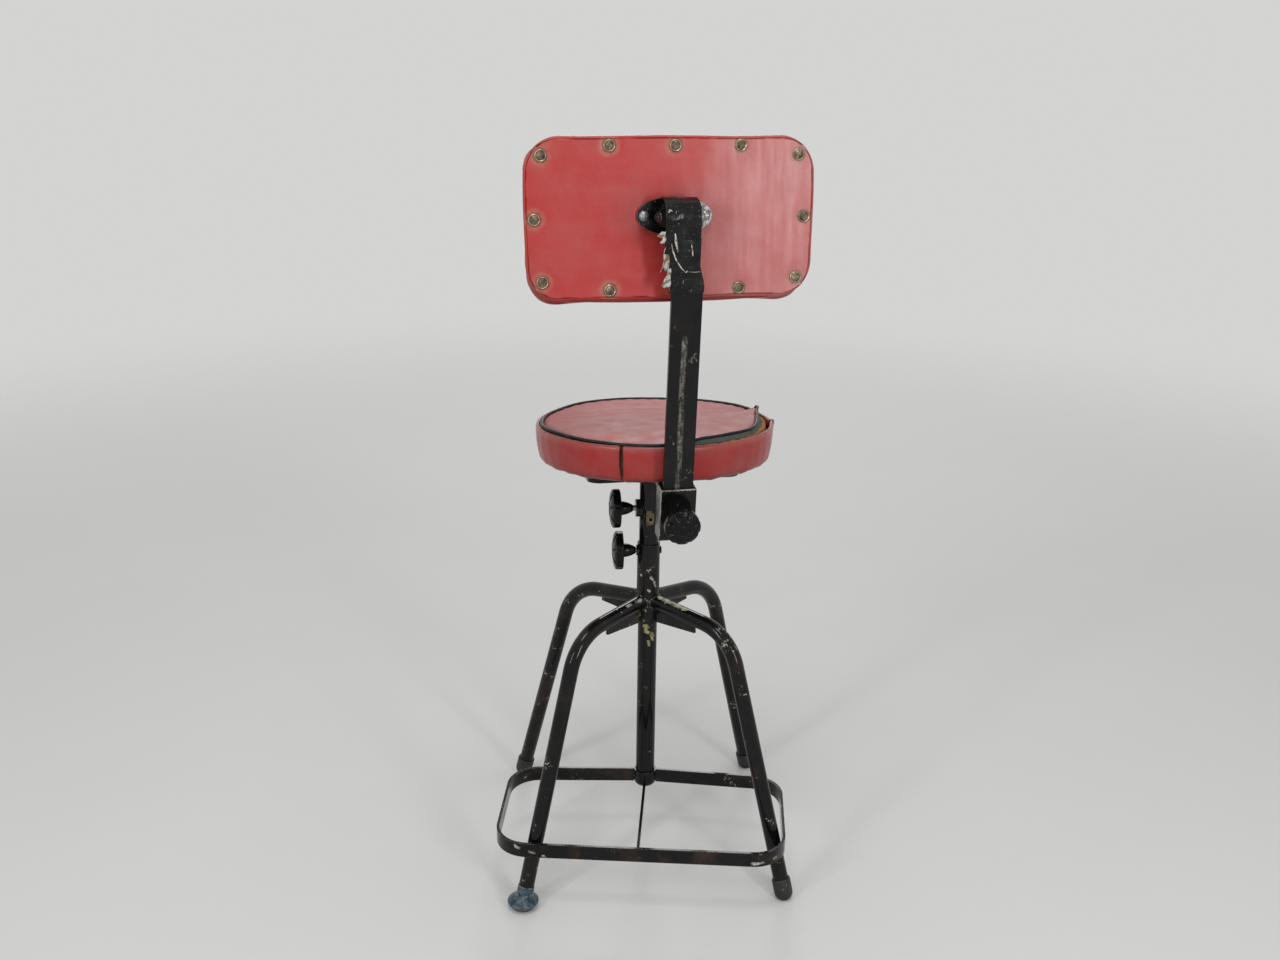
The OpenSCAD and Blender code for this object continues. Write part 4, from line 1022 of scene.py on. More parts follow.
def rim_edges(bm, height):
    """The edges where the slab's face at this height meets its side."""
    def on_level(edge):
        return all(abs(vert.co.z - height) < 1e-6 for vert in edge.verts)

    def meets_side(edge):
        return any(abs(face.normal.z) < 0.5 for face in edge.link_faces)

    return [edge for edge in bm.edges if on_level(edge) and meets_side(edge)]


def back_screw_points():
    """The twelve screws of the rear panel, from its middle."""
    back = sizes_of("stool_back")
    corner_x, corner_y = back.width / 2 - 0.018, back.height / 2 - 0.020
    mid_x, mid_y, mid_shift = back.width / 2 - 0.098, back.height / 2 - 0.0085, 0.005
    end_x = back.width / 2 - 0.009
    corners = [(sx * corner_x, sy * corner_y) for sx in (-1, 1) for sy in (-1, 1)]
    middles = [(sx * mid_x + mid_shift, sy * mid_y) for sx in (-1, 0, 1) for sy in (-1, 1)]
    return corners + middles + [(-end_x, 0), (end_x, 0)]


class STOOL_OT_back_panel(bpy.types.Operator):
    """Make the leatherette-covered rear panel, drawn down round its screws"""

    bl_idname = "stool.back_panel"
    bl_label = "Rear Panel"

    def execute(self, context):
        back = sizes_of("stool_back")
        wide, tall = back.width + 2 * back.lip, back.height + 2 * back.lip
        bm = round_slab(wide, tall, back.corner + back.lip, PANEL_THICKNESS, columns=150, rows=80)
        bmesh.ops.bevel(
            bm, geom=rim_edges(bm, 0.0), offset=0.0030, offset_type="OFFSET", segments=5,
            affect="EDGES", profile=0.5, material=-1,
        )
        points = back_screw_points()

        def drawn(point):
            near = min(math.hypot(point.x - x, point.y - y) for x, y in points)
            dent = -0.0009 * math.exp(-(near / 0.012) ** 2) if point.z > -0.0004 else 0.0
            swell = 0.0006 * rough((point.x, point.y, 0), 14, 7.0) if point.z > -0.0030 else 0.0
            wave = 0.0008 * math.sin(38 * point.y + 0.6) * smoothstep(0.12, 0.17, abs(point.x))
            wave_y = 0.0005 * math.sin(33 * point.x + 1.9) * smoothstep(0.06, 0.09, abs(point.y))
            return Vector((
                point.x + side_of(point.x) * wave,
                point.y + side_of(point.y) * wave_y,
                point.z + dent + swell,
            ))

        shape(bm, drawn)
        place = back_place()
        material = leatherette("panel_leatherette", fade=0.10, weave=0.20, streaks=0.14, polish=1.0)
        piece = piece_of("back_rear_panel", bm, material, place)
        unplace = place.inverted()

        # Dirt in a ring round each cup, painted shade along the panel's bevelled edge, and darker round the pivot
        # plate
        def screw_dirt_and_edge_shade(point):
            local = unplace @ point
            near = min(math.hypot(local.x - x, local.y - y) for x, y in points)
            edge = smoothstep(-0.0006, -0.0030, local.z)
            plate = math.hypot((local.x - back.shift + 0.010) / 0.075, local.y / 0.045)
            cup_edge = 0.60 * math.exp(-(max(0.0, near - 0.0085) / 0.0012) ** 2)
            return max(cup_edge, 0.6 * edge, 0.35 * math.exp(-plate ** 4))

        def bloom(point):
            local = unplace @ point
            near = min(math.hypot(local.x - x, local.y - y) for x, y in points)
            left = 0.45 + 0.55 * smoothstep(0.05, -0.10, local.x)
            from_corner = math.hypot(local.x + wide / 2 - 0.02, local.y - tall / 2 + 0.015)
            corner = smoothstep(0.03, 0.0, from_corner - 0.005)
            return max(0.65 * left * math.exp(-((near - 0.010) / 0.0035) ** 2), 0.30 * corner)

        soil(piece, "dirt_and_shade", screw_dirt_and_edge_shade)
        soil(piece, "bloom", bloom)
        # Painted sheen: the panel is paler and glossier towards its right, as seen from behind
        soil(piece, "rub", lambda point: 0.06 + 0.94 * smoothstep(-0.02, 0.13, (unplace @ point).x))
        belongs(piece, "backrest", "red_leatherette", "back_panel")
        return {"FINISHED"}


def inflate(piece, pressure, cap):
    """Swells a cushion with Cloth; its rear stays still and each point within cap of where it was."""
    context = bpy.context
    fixed = [vert.co.copy() for vert in piece.data.vertices]
    pins = piece.vertex_groups.new(name="held")
    held = [vert.index for vert in piece.data.vertices if vert.co.z > -HELD_DEPTH]
    pins.add(held, 1.0, "REPLACE")
    cloth = piece.modifiers.new("Cloth", "CLOTH")
    cloth.settings.use_pressure = True
    cloth.settings.uniform_pressure_force = pressure
    cloth.settings.effector_weights.gravity = 0
    cloth.settings.vertex_group_mass = pins.name
    cloth.settings.tension_stiffness = CLOTH_STIFFNESS
    cloth.settings.compression_stiffness = CLOTH_STIFFNESS
    cloth.collision_settings.use_collision = False
    for number in range(1, CLOTH_FRAMES + 1):
        context.scene.frame_set(number)
    swollen = baked_mesh(piece)
    for vert, start in zip(swollen.data.vertices, fixed):
        moved = vert.co - start
        if moved.length > cap:
            vert.co = start + moved.normalized() * cap
    swollen.vertex_groups.clear()
    context.scene.frame_set(1)
    return swollen


class STOOL_OT_back_cushion(bpy.types.Operator):
    """Make the padded front of the backrest: crowned, fuller than its panel and sagging at the bottom"""

    bl_idname = "stool.back_cushion"
    bl_label = "Back Cushion"

    def execute(self, context):
        back = sizes_of("stool_back")
        rise = 0.004
        deep = back.depth - PANEL_THICKNESS - rise
        bm = round_slab(back.width, back.height, back.corner, deep, columns=64, rows=34)
        layers = 8
        for k in range(1, layers):
            bmesh.ops.bisect_plane(
                bm, geom=bm.verts[:] + bm.edges[:] + bm.faces[:], dist=1e-7,
                plane_co=(0, 0, -deep * k / layers), plane_no=(0, 0, 1),
            )

        def padded(point):
            depth = -point.z / deep
            belly = math.sin(math.pi * min(1.0, depth * 0.92)) ** 0.7
            out = (back.swell - 0.0020) * belly - 0.0022 * (1 - smoothstep(0.0, 0.18, depth))
            tuck = 0.016 * smoothstep(0.62, 1.0, depth) ** 2
            reach_x, reach_y = abs(point.x) / (back.width / 2), abs(point.y) / (back.height / 2)
            edge_x, edge_y = smoothstep(0.55, 1.0, reach_x), smoothstep(0.35, 1.0, reach_y)
            pull = 0.0028 * math.cos(math.pi * min(1.0, reach_y)) * edge_x * belly
            x = point.x + side_of(point.x) * ((out - tuck) * edge_x - pull)
            y = point.y + side_of(point.y) * (out - tuck * 0.8) * edge_y
            if point.y < 0:
                hang = (back.sag - back.swell) * (1 - 0.35 * smoothstep(0.86, 1.0, reach_x))
                y -= hang * edge_y * smoothstep(0.0, 0.55, depth) * (1 - 0.45 * smoothstep(0.75, 1.0, depth))
            crown = rise * (1 - reach_x ** 4) * (1 - reach_y ** 4) * smoothstep(0.8, 1.0, depth)
            return Vector((x, y, point.z - crown))

        shape(bm, padded)
        bmesh.ops.translate(bm, vec=(0, 0, -PANEL_THICKNESS), verts=bm.verts)
        # tone 0.9 is painted shade: the cushion is a darker copy of the leatherette
        material = leatherette("cushion_leatherette", fade=0.16, weave=0.16, streaks=0.2, tone=0.9)
        piece = piece_of("back_cushion", bm, material)
        remesh = piece.modifiers.new("Even", "REMESH")
        remesh.mode = "VOXEL"
        remesh.voxel_size = 0.0042
        piece = baked_mesh(piece)
        piece = inflate(piece, pressure=4.0, cap=0.006)

        soft = bmesh.new()
        soft.from_mesh(piece.data)
        for _ in range(4):
            bmesh.ops.smooth_vert(
                soft, verts=[vert for vert in soft.verts if vert.co.z < -HELD_DEPTH], factor=0.5,
                use_axis_x=True, use_axis_y=True, use_axis_z=True,
            )

        def creased(point):
            depth = smoothstep(-HELD_DEPTH, -0.030, point.z)
            corner = smoothstep(0.10, 0.18, abs(point.x)) * smoothstep(0.03, 0.09, abs(point.y))
            along = 150 * (abs(point.x) - abs(point.y)) + 3 * rough(point, 20, 1.0)
            fold = 0.0007 * corner * depth * math.sin(along)
            soften = 0.0010 * rough(point, 16, 6.0) * depth
            return point + Vector((0, 0, fold + soften))

        shape(soft, creased)
        place = back_place()
        bmesh.ops.transform(soft, matrix=place, verts=soft.verts)
        bmesh.ops.recalc_face_normals(soft, faces=soft.faces)
        soft.to_mesh(piece.data)
        soft.free()
        smooth(piece.data)
        unplace = place.inverted()

        # Painted shade: darker where the cushion meets the panel and towards the cushion's bottom
        def seam_and_underside_shade(point):
            local = unplace @ point
            at_panel = 1 - smoothstep(0.0, 0.006, -local.z - PANEL_THICKNESS)
            return 0.85 * at_panel + 0.25 * smoothstep(-0.04, -0.09, local.y)

        soil(piece, "dirt_and_shade", seam_and_underside_shade)
        belongs(rounding(piece), "backrest", "red_leatherette", "back_cover", "back_foam")
        return {"FINISHED"}


def slotted_head(radius, height, slot_width, slot_depth):
    """A domed screw head with a slot, on z = 0, as a mesh."""
    ball = (radius ** 2 + height ** 2) / (2 * height)
    profile = [(0, 0), (radius * 0.97, 0)]
    steps = 7
    for k in range(steps + 1):
        away = radius * (1 - k / steps)
        profile.append((away, height - ball + math.sqrt(ball ** 2 - away ** 2)))
    head = piece_of("head", spun(profile, 28), None, sharp=40)
    cut = bmesh.new()
    bmesh.ops.create_cube(cut, size=1.0)
    bmesh.ops.scale(cut, vec=(3 * radius, slot_width, 2 * slot_depth), verts=cut.verts)
    bmesh.ops.translate(cut, vec=(0, 0, height), verts=cut.verts)
    cutter = piece_of("cutter", cut, None)
    slot = head.modifiers.new("Slot", "BOOLEAN")
    slot.operation = "DIFFERENCE"
    slot.solver = "EXACT"
    slot.object = cutter
    mesh = baked_mesh(head).data
    for scratch in (head, cutter):
        bpy.data.objects.remove(scratch)
    return mesh


class STOOL_OT_back_screws(bpy.types.Operator):
    """Make the slotted brass screws and their cup washers on the rear panel"""

    bl_idname = "stool.back_screws"
    bl_label = "Panel Screws"

    def execute(self, context):
        place = back_place()
        rise = 0.0019
        cup_profile = [
            (0.0030, -0.0004), (0.0088, -0.0004), (0.0090, 0.0002), (0.0086, 0.0010),
            (0.0079, rise), (0.0074, rise + 0.0002), (0.0068, rise - 0.0001),
            (0.0060, rise - 0.0008), (0.0030, rise - 0.0009),
        ]
        cups, screws = bmesh.new(), bmesh.new()
        cup_share = 0.9
        cup_section = [(cup_share * away, up) for away, up in cup_profile]
        cup = mesh_of(spun(cup_section, 36, closed_profile=True), "cup")
        head = slotted_head(radius=0.0060, height=0.0029, slot_width=0.0014, slot_depth=0.0014)
        slot_turns = (80, 95, 15, 60, 40, 100, 120, 75, 25, 70, 150, 88)
        for (x, y), slot_turn in zip(back_screw_points(), slot_turns):
            cup_at = place @ Matrix.Translation((x, y, -0.0006))
            head_at = cup_at @ Matrix.Translation((0, 0, rise - 0.0010))
            add_copy(cups, cup, cup_at)
            add_copy(screws, head, head_at @ Matrix.Rotation(math.radians(slot_turn), 4, "Z"))
        brass = sizes_of("stool_colours").brass
        cup_finish = bare_metal("dull_brass_cups", brass, (0.22, 0.16, 0.10), 0.34)
        cup_piece = piece_of("back_screw_cups", cups, cup_finish, sharp=35)
        belongs(cup_piece, "backrest", "dull_brass", "back_cup_washers")
        screw_finish = bare_metal("dull_brass_screws", toned(brass, 0.52), (0.085, 0.066, 0.048), 0.38)
        screw_piece = piece_of("back_screw_heads", screws, screw_finish, sharp=35)
        belongs(screw_piece, "backrest", "dull_brass", "back_screws")
        return {"FINISHED"}


# The bar's tape, in the flat bar's frame

TAPE_LOW, TAPE_HIGH = 0.307, 0.375
TAPE_HALF_WIDTH, TAPE_HALF_THICKNESS = 0.0218, 0.0043
LAP_MM = 21.0
# The middle of the rolled eye at the bar's top
EYE_Y, EYE_Z = -0.019, 0.397


class STOOL_OT_tape(bpy.types.Operator):
    """Wrap the top of the flat bar in insulating tape, with its torn ends"""

    bl_idname = "stool.tape"
    bl_label = "Bar Tape"

    def execute(self, context):
        material = tape_material()
        place = bar_place()
        wrap = piece_of("bar_tape_sleeve", self.sleeve(), material, place)
        belongs(wrap, "bar", "tape", "bar_tape")
        over = piece_of("bar_tape_over_eye", self.over_eye(), material, place)
        belongs(thickness(over, 0.0012), "bar", "tape")
        flaps = piece_of("bar_tape_torn_ends", self.torn_ends(), pale_backing_and_glints(), place)
        belongs(thickness(flaps, 0.0006, 0.0), "bar", "tape")
        # Painted glints: pale ribbons where folds of the tape catch the light
        edges = piece_of("bar_tape_painted_glints", self.painted_glints(), pale_backing_and_glints(), place)
        belongs(thickness(edges, 0.0004, 0.0), "bar", "tape")
        return {"FINISHED"}

    @staticmethod
    def sleeve():
        """The wound part below the eye, fitted to the bar and stepped at each lap."""
        rows = 34
        bm = bmesh.new()
        bmesh.ops.create_grid(bm, x_segments=1, y_segments=1, size=1.0)
        bmesh.ops.scale(bm, vec=(TAPE_HALF_WIDTH, TAPE_HALF_THICKNESS, 1), verts=bm.verts)
        bmesh.ops.bevel(
            bm, geom=bm.verts[:], offset=0.0026, offset_type="OFFSET", segments=4,
            affect="VERTICES", profile=0.5, material=-1,
        )
        long_edges = [edge for edge in bm.edges if edge.calc_length() > 0.02]
        bmesh.ops.subdivide_edges(bm, edges=long_edges, cuts=22, use_grid_fill=False)
        bmesh.ops.translate(bm, vec=(0, 0, TAPE_LOW), verts=bm.verts)
        lid = bm.faces[:]
        for _ in range(rows):
            made = bmesh.ops.extrude_face_region(bm, geom=lid)
            moved = only(made["geom"], bmesh.types.BMVert)
            bmesh.ops.delete(bm, geom=lid, context="FACES_ONLY")
            bmesh.ops.translate(bm, vec=(0, 0, (TAPE_HIGH - TAPE_LOW) / rows), verts=moved)
            lid = only(made["geom"], bmesh.types.BMFace)
        bmesh.ops.recalc_face_normals(bm, faces=bm.faces)

        def wound(point):
            narrow = smoothstep(0.312, 0.345, point.z)
            near_side, far_side = -0.0216 + narrow * 0.0065, TAPE_HALF_WIDTH + narrow * 0.0025
            share = (point.x + TAPE_HALF_WIDTH) / (2 * TAPE_HALF_WIDTH)
            x = near_side + share * (far_side - near_side)
            climb = point.z + 0.10 * point.x
            lap = (climb * 1000 / LAP_MM) % 1.0
            step = 0.0006 * (1 - smoothstep(0.0, 0.07, lap)) + 0.0004 * rough(point, 60, 8.0)
            return Vector((x * (1 + step * 8), point.y * (1 + step / TAPE_HALF_THICKNESS), point.z))

        shape(bm, wound)
        return bm

    @staticmethod
    def over_eye():
        """The strip that runs up the back of the bar and over its rolled eye."""
        edge_x, rear_y, radius = 0.0312, 0.0049, 0.0240
        path = [(rear_y, EYE_Z - 0.040 + 0.004 * k) for k in range(10)]
        path += arc(EYE_Y, EYE_Z, radius, start=4, sweep=130, steps=26)
        bm = bmesh.new()
        points = [bm.verts.new((edge_x, y, z)) for y, z in path]
        lines = [bm.edges.new(pair) for pair in zip(points, points[1:])]
        columns = 20
        for _ in range(columns):
            made = bmesh.ops.extrude_edge_only(bm, edges=lines)
            lines = only(made["geom"], bmesh.types.BMEdge)
            moved = only(made["geom"], bmesh.types.BMVert)
            bmesh.ops.translate(bm, vec=(-2 * TAPE_HALF_WIDTH / columns, 0, 0), verts=moved)
        bmesh.ops.recalc_face_normals(bm, faces=bm.faces)

        def crumpled(point):
            out = 0.0008 * rough((point.x * 0.35, point.y, point.z), 90, 3.0)
            angle = math.atan2(point.z - EYE_Z, point.y - EYE_Y)
            out += 0.0009 * math.exp(-((angle - 0.95 + 4 * point.x) / 0.07) ** 2)
            out += 0.0007 * math.exp(-((angle - 0.62 - 3 * point.x) / 0.06) ** 2)
            step = 0.0006 * smoothstep(0.0, 0.0012, point.x - 0.014 + 0.3 * (point.z - EYE_Z))
            direction = Vector((0, point.y - EYE_Y, max(0.0, point.z - EYE_Z)))
            return point + direction.normalized() * (out + step)

        shape(bm, crumpled)
        return bm

    @staticmethod
    def torn_ends():
        """The ragged tape ends that hang off the bar's edge, pale backing outwards."""
        bm = bmesh.new()
        # Each end's middle, width, height and lean in degrees
        flaps = (
            ((0.0290, 0.003, 0.3790), 0.018, 0.014, 14),
            ((0.0275, 0.001, 0.3530), 0.010, 0.034, -5),
            ((0.0255, 0.003, 0.3270), 0.010, 0.024, -10),
        )
        for seed, (middle, wide, tall, lean) in enumerate(flaps):
            flap = bmesh.new()
            bmesh.ops.create_grid(flap, x_segments=8, y_segments=14, size=0.5)

            def torn(point):
                edge = 0.34 * noise.noise(Vector((point.y * 3.1, seed * 3.1, 0)))
                x = (point.x + edge * (point.x + 0.5)) * wide
                y = (point.y + 0.16 * noise.noise(Vector((point.x * 3, seed, 4)))) * tall
                wave = 0.0012 * noise.noise(Vector((point.x * 3, point.y * 4, seed)))
                return Vector((x, 0.004 * (point.x + 0.5) ** 2 + wave, y))

            shape(flap, torn)
            leaning = Matrix.Rotation(math.radians(lean), 3, "Y")
            bmesh.ops.rotate(flap, cent=(0, 0, 0), matrix=leaning, verts=flap.verts)
            bmesh.ops.translate(flap, vec=middle, verts=flap.verts)
            join(bm, flap, Matrix.Identity(4))
        return bm

    @staticmethod
    def painted_glints():
        """Painted glints: pale thin ribbons on the bar's rear face where the tape's folds catch the light."""
        # Each ribbon's points in x and z, and half its width
        lines = (
            ((
                (0.0235, 0.370), (0.0215, 0.361), (0.0170, 0.350),
                (0.0105, 0.340), (0.0040, 0.3335), (0.0022, 0.336),
            ), 0.0013),
            (((0.0195, 0.383), (0.0180, 0.372), (0.0155, 0.360)), 0.0017),
            (((-0.0015, 0.369), (-0.0030, 0.361), (-0.0038, 0.354)), 0.0010),
            (((-0.0140, 0.3345), (-0.0080, 0.3340), (0.0010, 0.3345)), 0.0003),
            (((0.0285, 0.4080), (0.0262, 0.4115), (0.0240, 0.4095)), 0.0014),
        )
        flat_y, flat_top, wound_radius = 0.0062, 0.395, 0.0264
        bm = bmesh.new()
        for number, (line, half) in enumerate(lines):
            pieces = []
            for a, b in zip(line, line[1:]):
                pieces += [(a[0] + (b[0] - a[0]) * k / 4, a[1] + (b[1] - a[1]) * k / 4) for k in range(4)]
            pieces.append(line[-1])
            rows = []
            for k, (x, z) in enumerate(pieces):
                share = k / (len(pieces) - 1)
                ragged = 1 + 0.4 * noise.noise(Vector((k * 0.7, number, 0)))
                wide = half * (0.35 + 0.65 * math.sin(math.pi * share)) * ragged
                y = flat_y if z < flat_top else math.sqrt(wound_radius ** 2 - (z - EYE_Z) ** 2) + EYE_Y
                rows.append([
                    bm.verts.new((x + side * wide, y + 0.0005 * (side > 0), z + side * wide * 0.4))
                    for side in (-1, 1)
                ])
            for first, second in zip(rows, rows[1:]):
                bm.faces.new((first[0], first[1], second[1], second[0]))
        bmesh.ops.recalc_face_normals(bm, faces=bm.faces)
        return bm


# The knobs

class STOOL_OT_knobs(bpy.types.Operator):
    """Make the three moulded clamp knobs, with flutes that run up on to their faces"""

    bl_idname = "stool.knobs"
    bl_label = "Clamp Knobs"

    def execute(self, context):
        knob = sizes_of("stool_knob")
        material = moulded_black()
        wheels = {"height": knob.side_wheel, "swivel": knob.side_wheel, "rear": knob.rear_wheel}
        for name, wheel in wheels.items():
            joint = name + "_knob_turn"
            place = knob_place(joint, self.thin_end(name, joint))
            piece = piece_of(name + "_knob_wheel", self.wheel(wheel / 2), material, place, sharp=50)
            belongs(piece, name + "_knob", "knob_plastic", name + "_knob")
        return {"FINISHED"}

    @staticmethod
    def thin_end(name, joint):
        """Where the thin end of the knob's neck is, from the lowest point of its node along its axis."""
        axis = Vector(JOINTS[joint]["axis"])
        along = [vert.co.dot(axis) for vert in frame["nodes"][name + "_knob"].data.vertices]
        start = Vector(JOINTS[joint]["pos_m"])
        return start + axis * (min(along) - start.dot(axis))

    @staticmethod
    def wheel(wheel_r):
        knob = sizes_of("stool_knob")
        neck, rim, dome = knob.neck, knob.rim, knob.dome
        thin, thick = 0.0048, 0.0104
        edge = 0.0024
        profile = [(0.0041, 0.0), (thin, 0.0)]
        rows = 10
        for k in range(1, rows + 1):
            flare = math.sin(math.pi / 2 * k / rows) ** 0.85
            profile.append((thin + (thick - thin) * flare, neck * k / rows))
        profile += [
            (thick + 0.0030, neck + 0.0002), ((thick + wheel_r) / 2, neck + 0.0004),
            (wheel_r - edge - 0.001, neck + 0.0004),
        ]
        profile += arc(wheel_r - edge, neck + edge, edge, start=-90, sweep=90, steps=4)
        profile += arc(wheel_r - edge, neck + rim - edge, edge, start=0, sweep=90, steps=4)
        top = neck + rim
        for share in (0.86, 0.78, 0.70, 0.62, 0.54, 0.46, 0.42):
            profile.append((wheel_r * share, top + dome * (1 - share ** 2)))
        button = ((0.39, 0.80), (0.36, 0.58), (0.22, 0.58), (0.20, 0.80), (0.15, 0.92), (0.0, 0.94))
        profile += [(wheel_r * share, top + dome * rise) for share, rise in button]
        bm = spun(profile, knob.flutes * 22)

        def fluted(point):
            away = point.xy.length
            if point.z < neck - 0.0001 or away < wheel_r * 0.42:
                return point
            angle = angle_of(point)
            pitch = 2 * math.pi / knob.flutes
            from_flute = abs(math.remainder(angle - pitch / 2, pitch)) * away
            depth = math.exp(-(from_flute / 0.0020) ** 2)
            rim_share = smoothstep(wheel_r * 0.74, wheel_r, away)
            fading = 1 - 0.5 * smoothstep(0.92 * wheel_r, wheel_r, away)
            groove = smoothstep(wheel_r * 0.50, wheel_r * 0.66, away) * fading
            scale = 1 - 0.022 * depth * rim_share
            face = smoothstep(top - rim * 0.45, top, point.z)
            return Vector((point.x * scale, point.y * scale, point.z - 0.0032 * depth * groove * face))

        shape(bm, fluted)
        bmesh.ops.recalc_face_normals(bm, faces=bm.faces)
        return bm


# Welds

SLEEVE_RADIUS = 0.01685
LEG_RADIUS = 0.0111
BEAD_RADIUS = 0.0016
ROOT_HEIGHT = 0.396
# The turn of the first leg and how steeply each leg falls, the rear pair first, in degrees
FIRST_LEG_TURN = 38
LEG_FALLS = (4.5, 4.5, 8.5, 8.5)
# How far a bead leans with its leg
BEAD_LEAN = 0.3


class STOOL_OT_welds(bpy.types.Operator):
    """Make the weld beads round the leg roots"""

    bl_idname = "stool.welds"
    bl_label = "Welds"

    def execute(self, context):
        bm = bmesh.new()
        for k, fall in enumerate(LEG_FALLS):
            bead = spun_ring(LEG_RADIUS, BEAD_RADIUS, 8, 56)

            def saddle(point, number=k):
                angle = angle_of(point)
                lump = 1 + 0.30 * math.sin(17 * angle + number) + 0.25 * rough((angle, number, 0), 2.0)
                across, up = point.x, point.y
                reach = math.sqrt(max(0.0, SLEEVE_RADIUS ** 2 - across ** 2))
                return Vector((reach + 0.0006 + point.z * lump, across, up))

            shape(bead, saddle)
            turned = Matrix.Rotation(math.radians(FIRST_LEG_TURN + 90 * k), 4, "Z")
            root = turned @ Matrix.Translation((0, 0, ROOT_HEIGHT))
            join(bm, bead, root @ Matrix.Rotation(math.radians(fall * BEAD_LEAN), 4, "Y"))
        piece = piece_of("leg_root_welds", bm, weld_metal())
        belongs(piece, "base", "black_paint")
        return {"FINISHED"}


# The frame's finishes

class STOOL_OT_frame_finishes(bpy.types.Operator):
    """Give each carried-over part of the frame its worn paint, metal, rubber or wood"""

    bl_idname = "stool.frame_finishes"
    bl_label = "Frame Finishes"

    def execute(self, context):
        slot_of = {entry["node"]: entry["material_slot"] for entry in frame["record"]["subparts"]}
        by_slot = {
            "black_paint": black_paint("frame_black_paint", chips=0.55),
            "bare_steel": bare_metal("bare_steel", (0.58, 0.57, 0.54), (0.28, 0.24, 0.19)),
            "spindle_steel": bare_metal("greasy_steel", (0.17, 0.15, 0.095), (0.06, 0.048, 0.030), 0.36),
            "zinc": bare_metal("dull_zinc", (0.44, 0.45, 0.46), (0.20, 0.20, 0.20), 0.36),
            "bronze": bare_metal("dull_bronze", (0.46, 0.36, 0.20), (0.20, 0.14, 0.08)),
            "dull_brass": bare_metal("dull_brass", (0.40, 0.31, 0.19), (0.16, 0.11, 0.06)),
            "plug_plastic": moulded_black(),
            "rubber": rubber_material(),
            "blue_grey": foot_metal(),
            "plywood": plywood(),
        }
        by_node = {
            "foot_ring": black_paint("ring_black_paint", chips=0.9, stain=0.40, spots=RING_CHIPS),
            "ring_cup": black_paint("cup_black_paint", chips=0.9, stain=0.6, spots=CUP_CHIPS),
            "hub_sleeve": black_paint("hub_black_paint", chips=0.5, stain=0.12, spots=SLEEVE_CHIPS),
            "stem_tube": black_paint(
                "stem_black_paint", chips=0.4, stain=0.10, spots=STEM_CHIPS, bare_colour=(0.42, 0.40, 0.20),
            ),
            "leg_rear_right": black_paint(
                "right_leg_black_paint", chips=0.55, stain=0.2, spots=RIGHT_LEG_CHIPS,
                bare_colour=(0.48, 0.52, 0.38),
            ),
            "leg_rear_left": black_paint("left_leg_black_paint", chips=0.55, stain=0.2, spots=LEFT_LEG_CHIPS),
            "back_bar": black_paint(
                "bar_black_paint", chips=0.25, stain=0.08, gloss=0.20, stripe=BAR_STRIPE,
                bare_colour=(0.34, 0.34, 0.31),
            ),
            "bar_socket": black_paint("socket_black_paint", chips=0.75, stain=0.1, spots=socket_chips()),
            "pivot_plate": half_painted_zinc(node_centre("pivot_plate").x - 0.004),
        }
        for name, node in frame["nodes"].items():
            finish = by_node.get(name) or by_slot.get(slot_of[name])
            if finish is None:
                continue
            node.data.materials.clear()
            node.data.materials.append(finish)
        return {"FINISHED"}


# The stage

# Where the camera stands, the three directions of its frame, and its lens and sensor in mm
CAMERA_PLACE = (0.4009, 1.8861, 1.2222)
CAMERA_RIGHT = (-0.9804, 0.1964, 0.0132)
CAMERA_UP = (-0.0495, -0.3109, 0.9491)
CAMERA_AHEAD = (-0.1906, -0.9299, -0.3146)
LENS, SENSOR = 39.375, 36.0
# Each lamp's name, place, aim, width and height, and power
LAMPS = (
    ("right_softbox", (-0.80, 2.20, 1.22), (-0.12, 0.1, 0.98), (0.30, 0.9), 13),
    ("left_softbox", (2.0, 1.6, 1.7), (0.0, 0.1, 0.5), (0.20, 1.1), 13),
    ("top_softbox", (0.3, 0.9, 2.8), (0.0, 0.0, 0.5), (0.7, 0.7), 12),
    ("front_softbox", (-0.6, -2.6, 2.1), (0.0, 0.0, 0.6), (0.8, 0.8), 14),
)


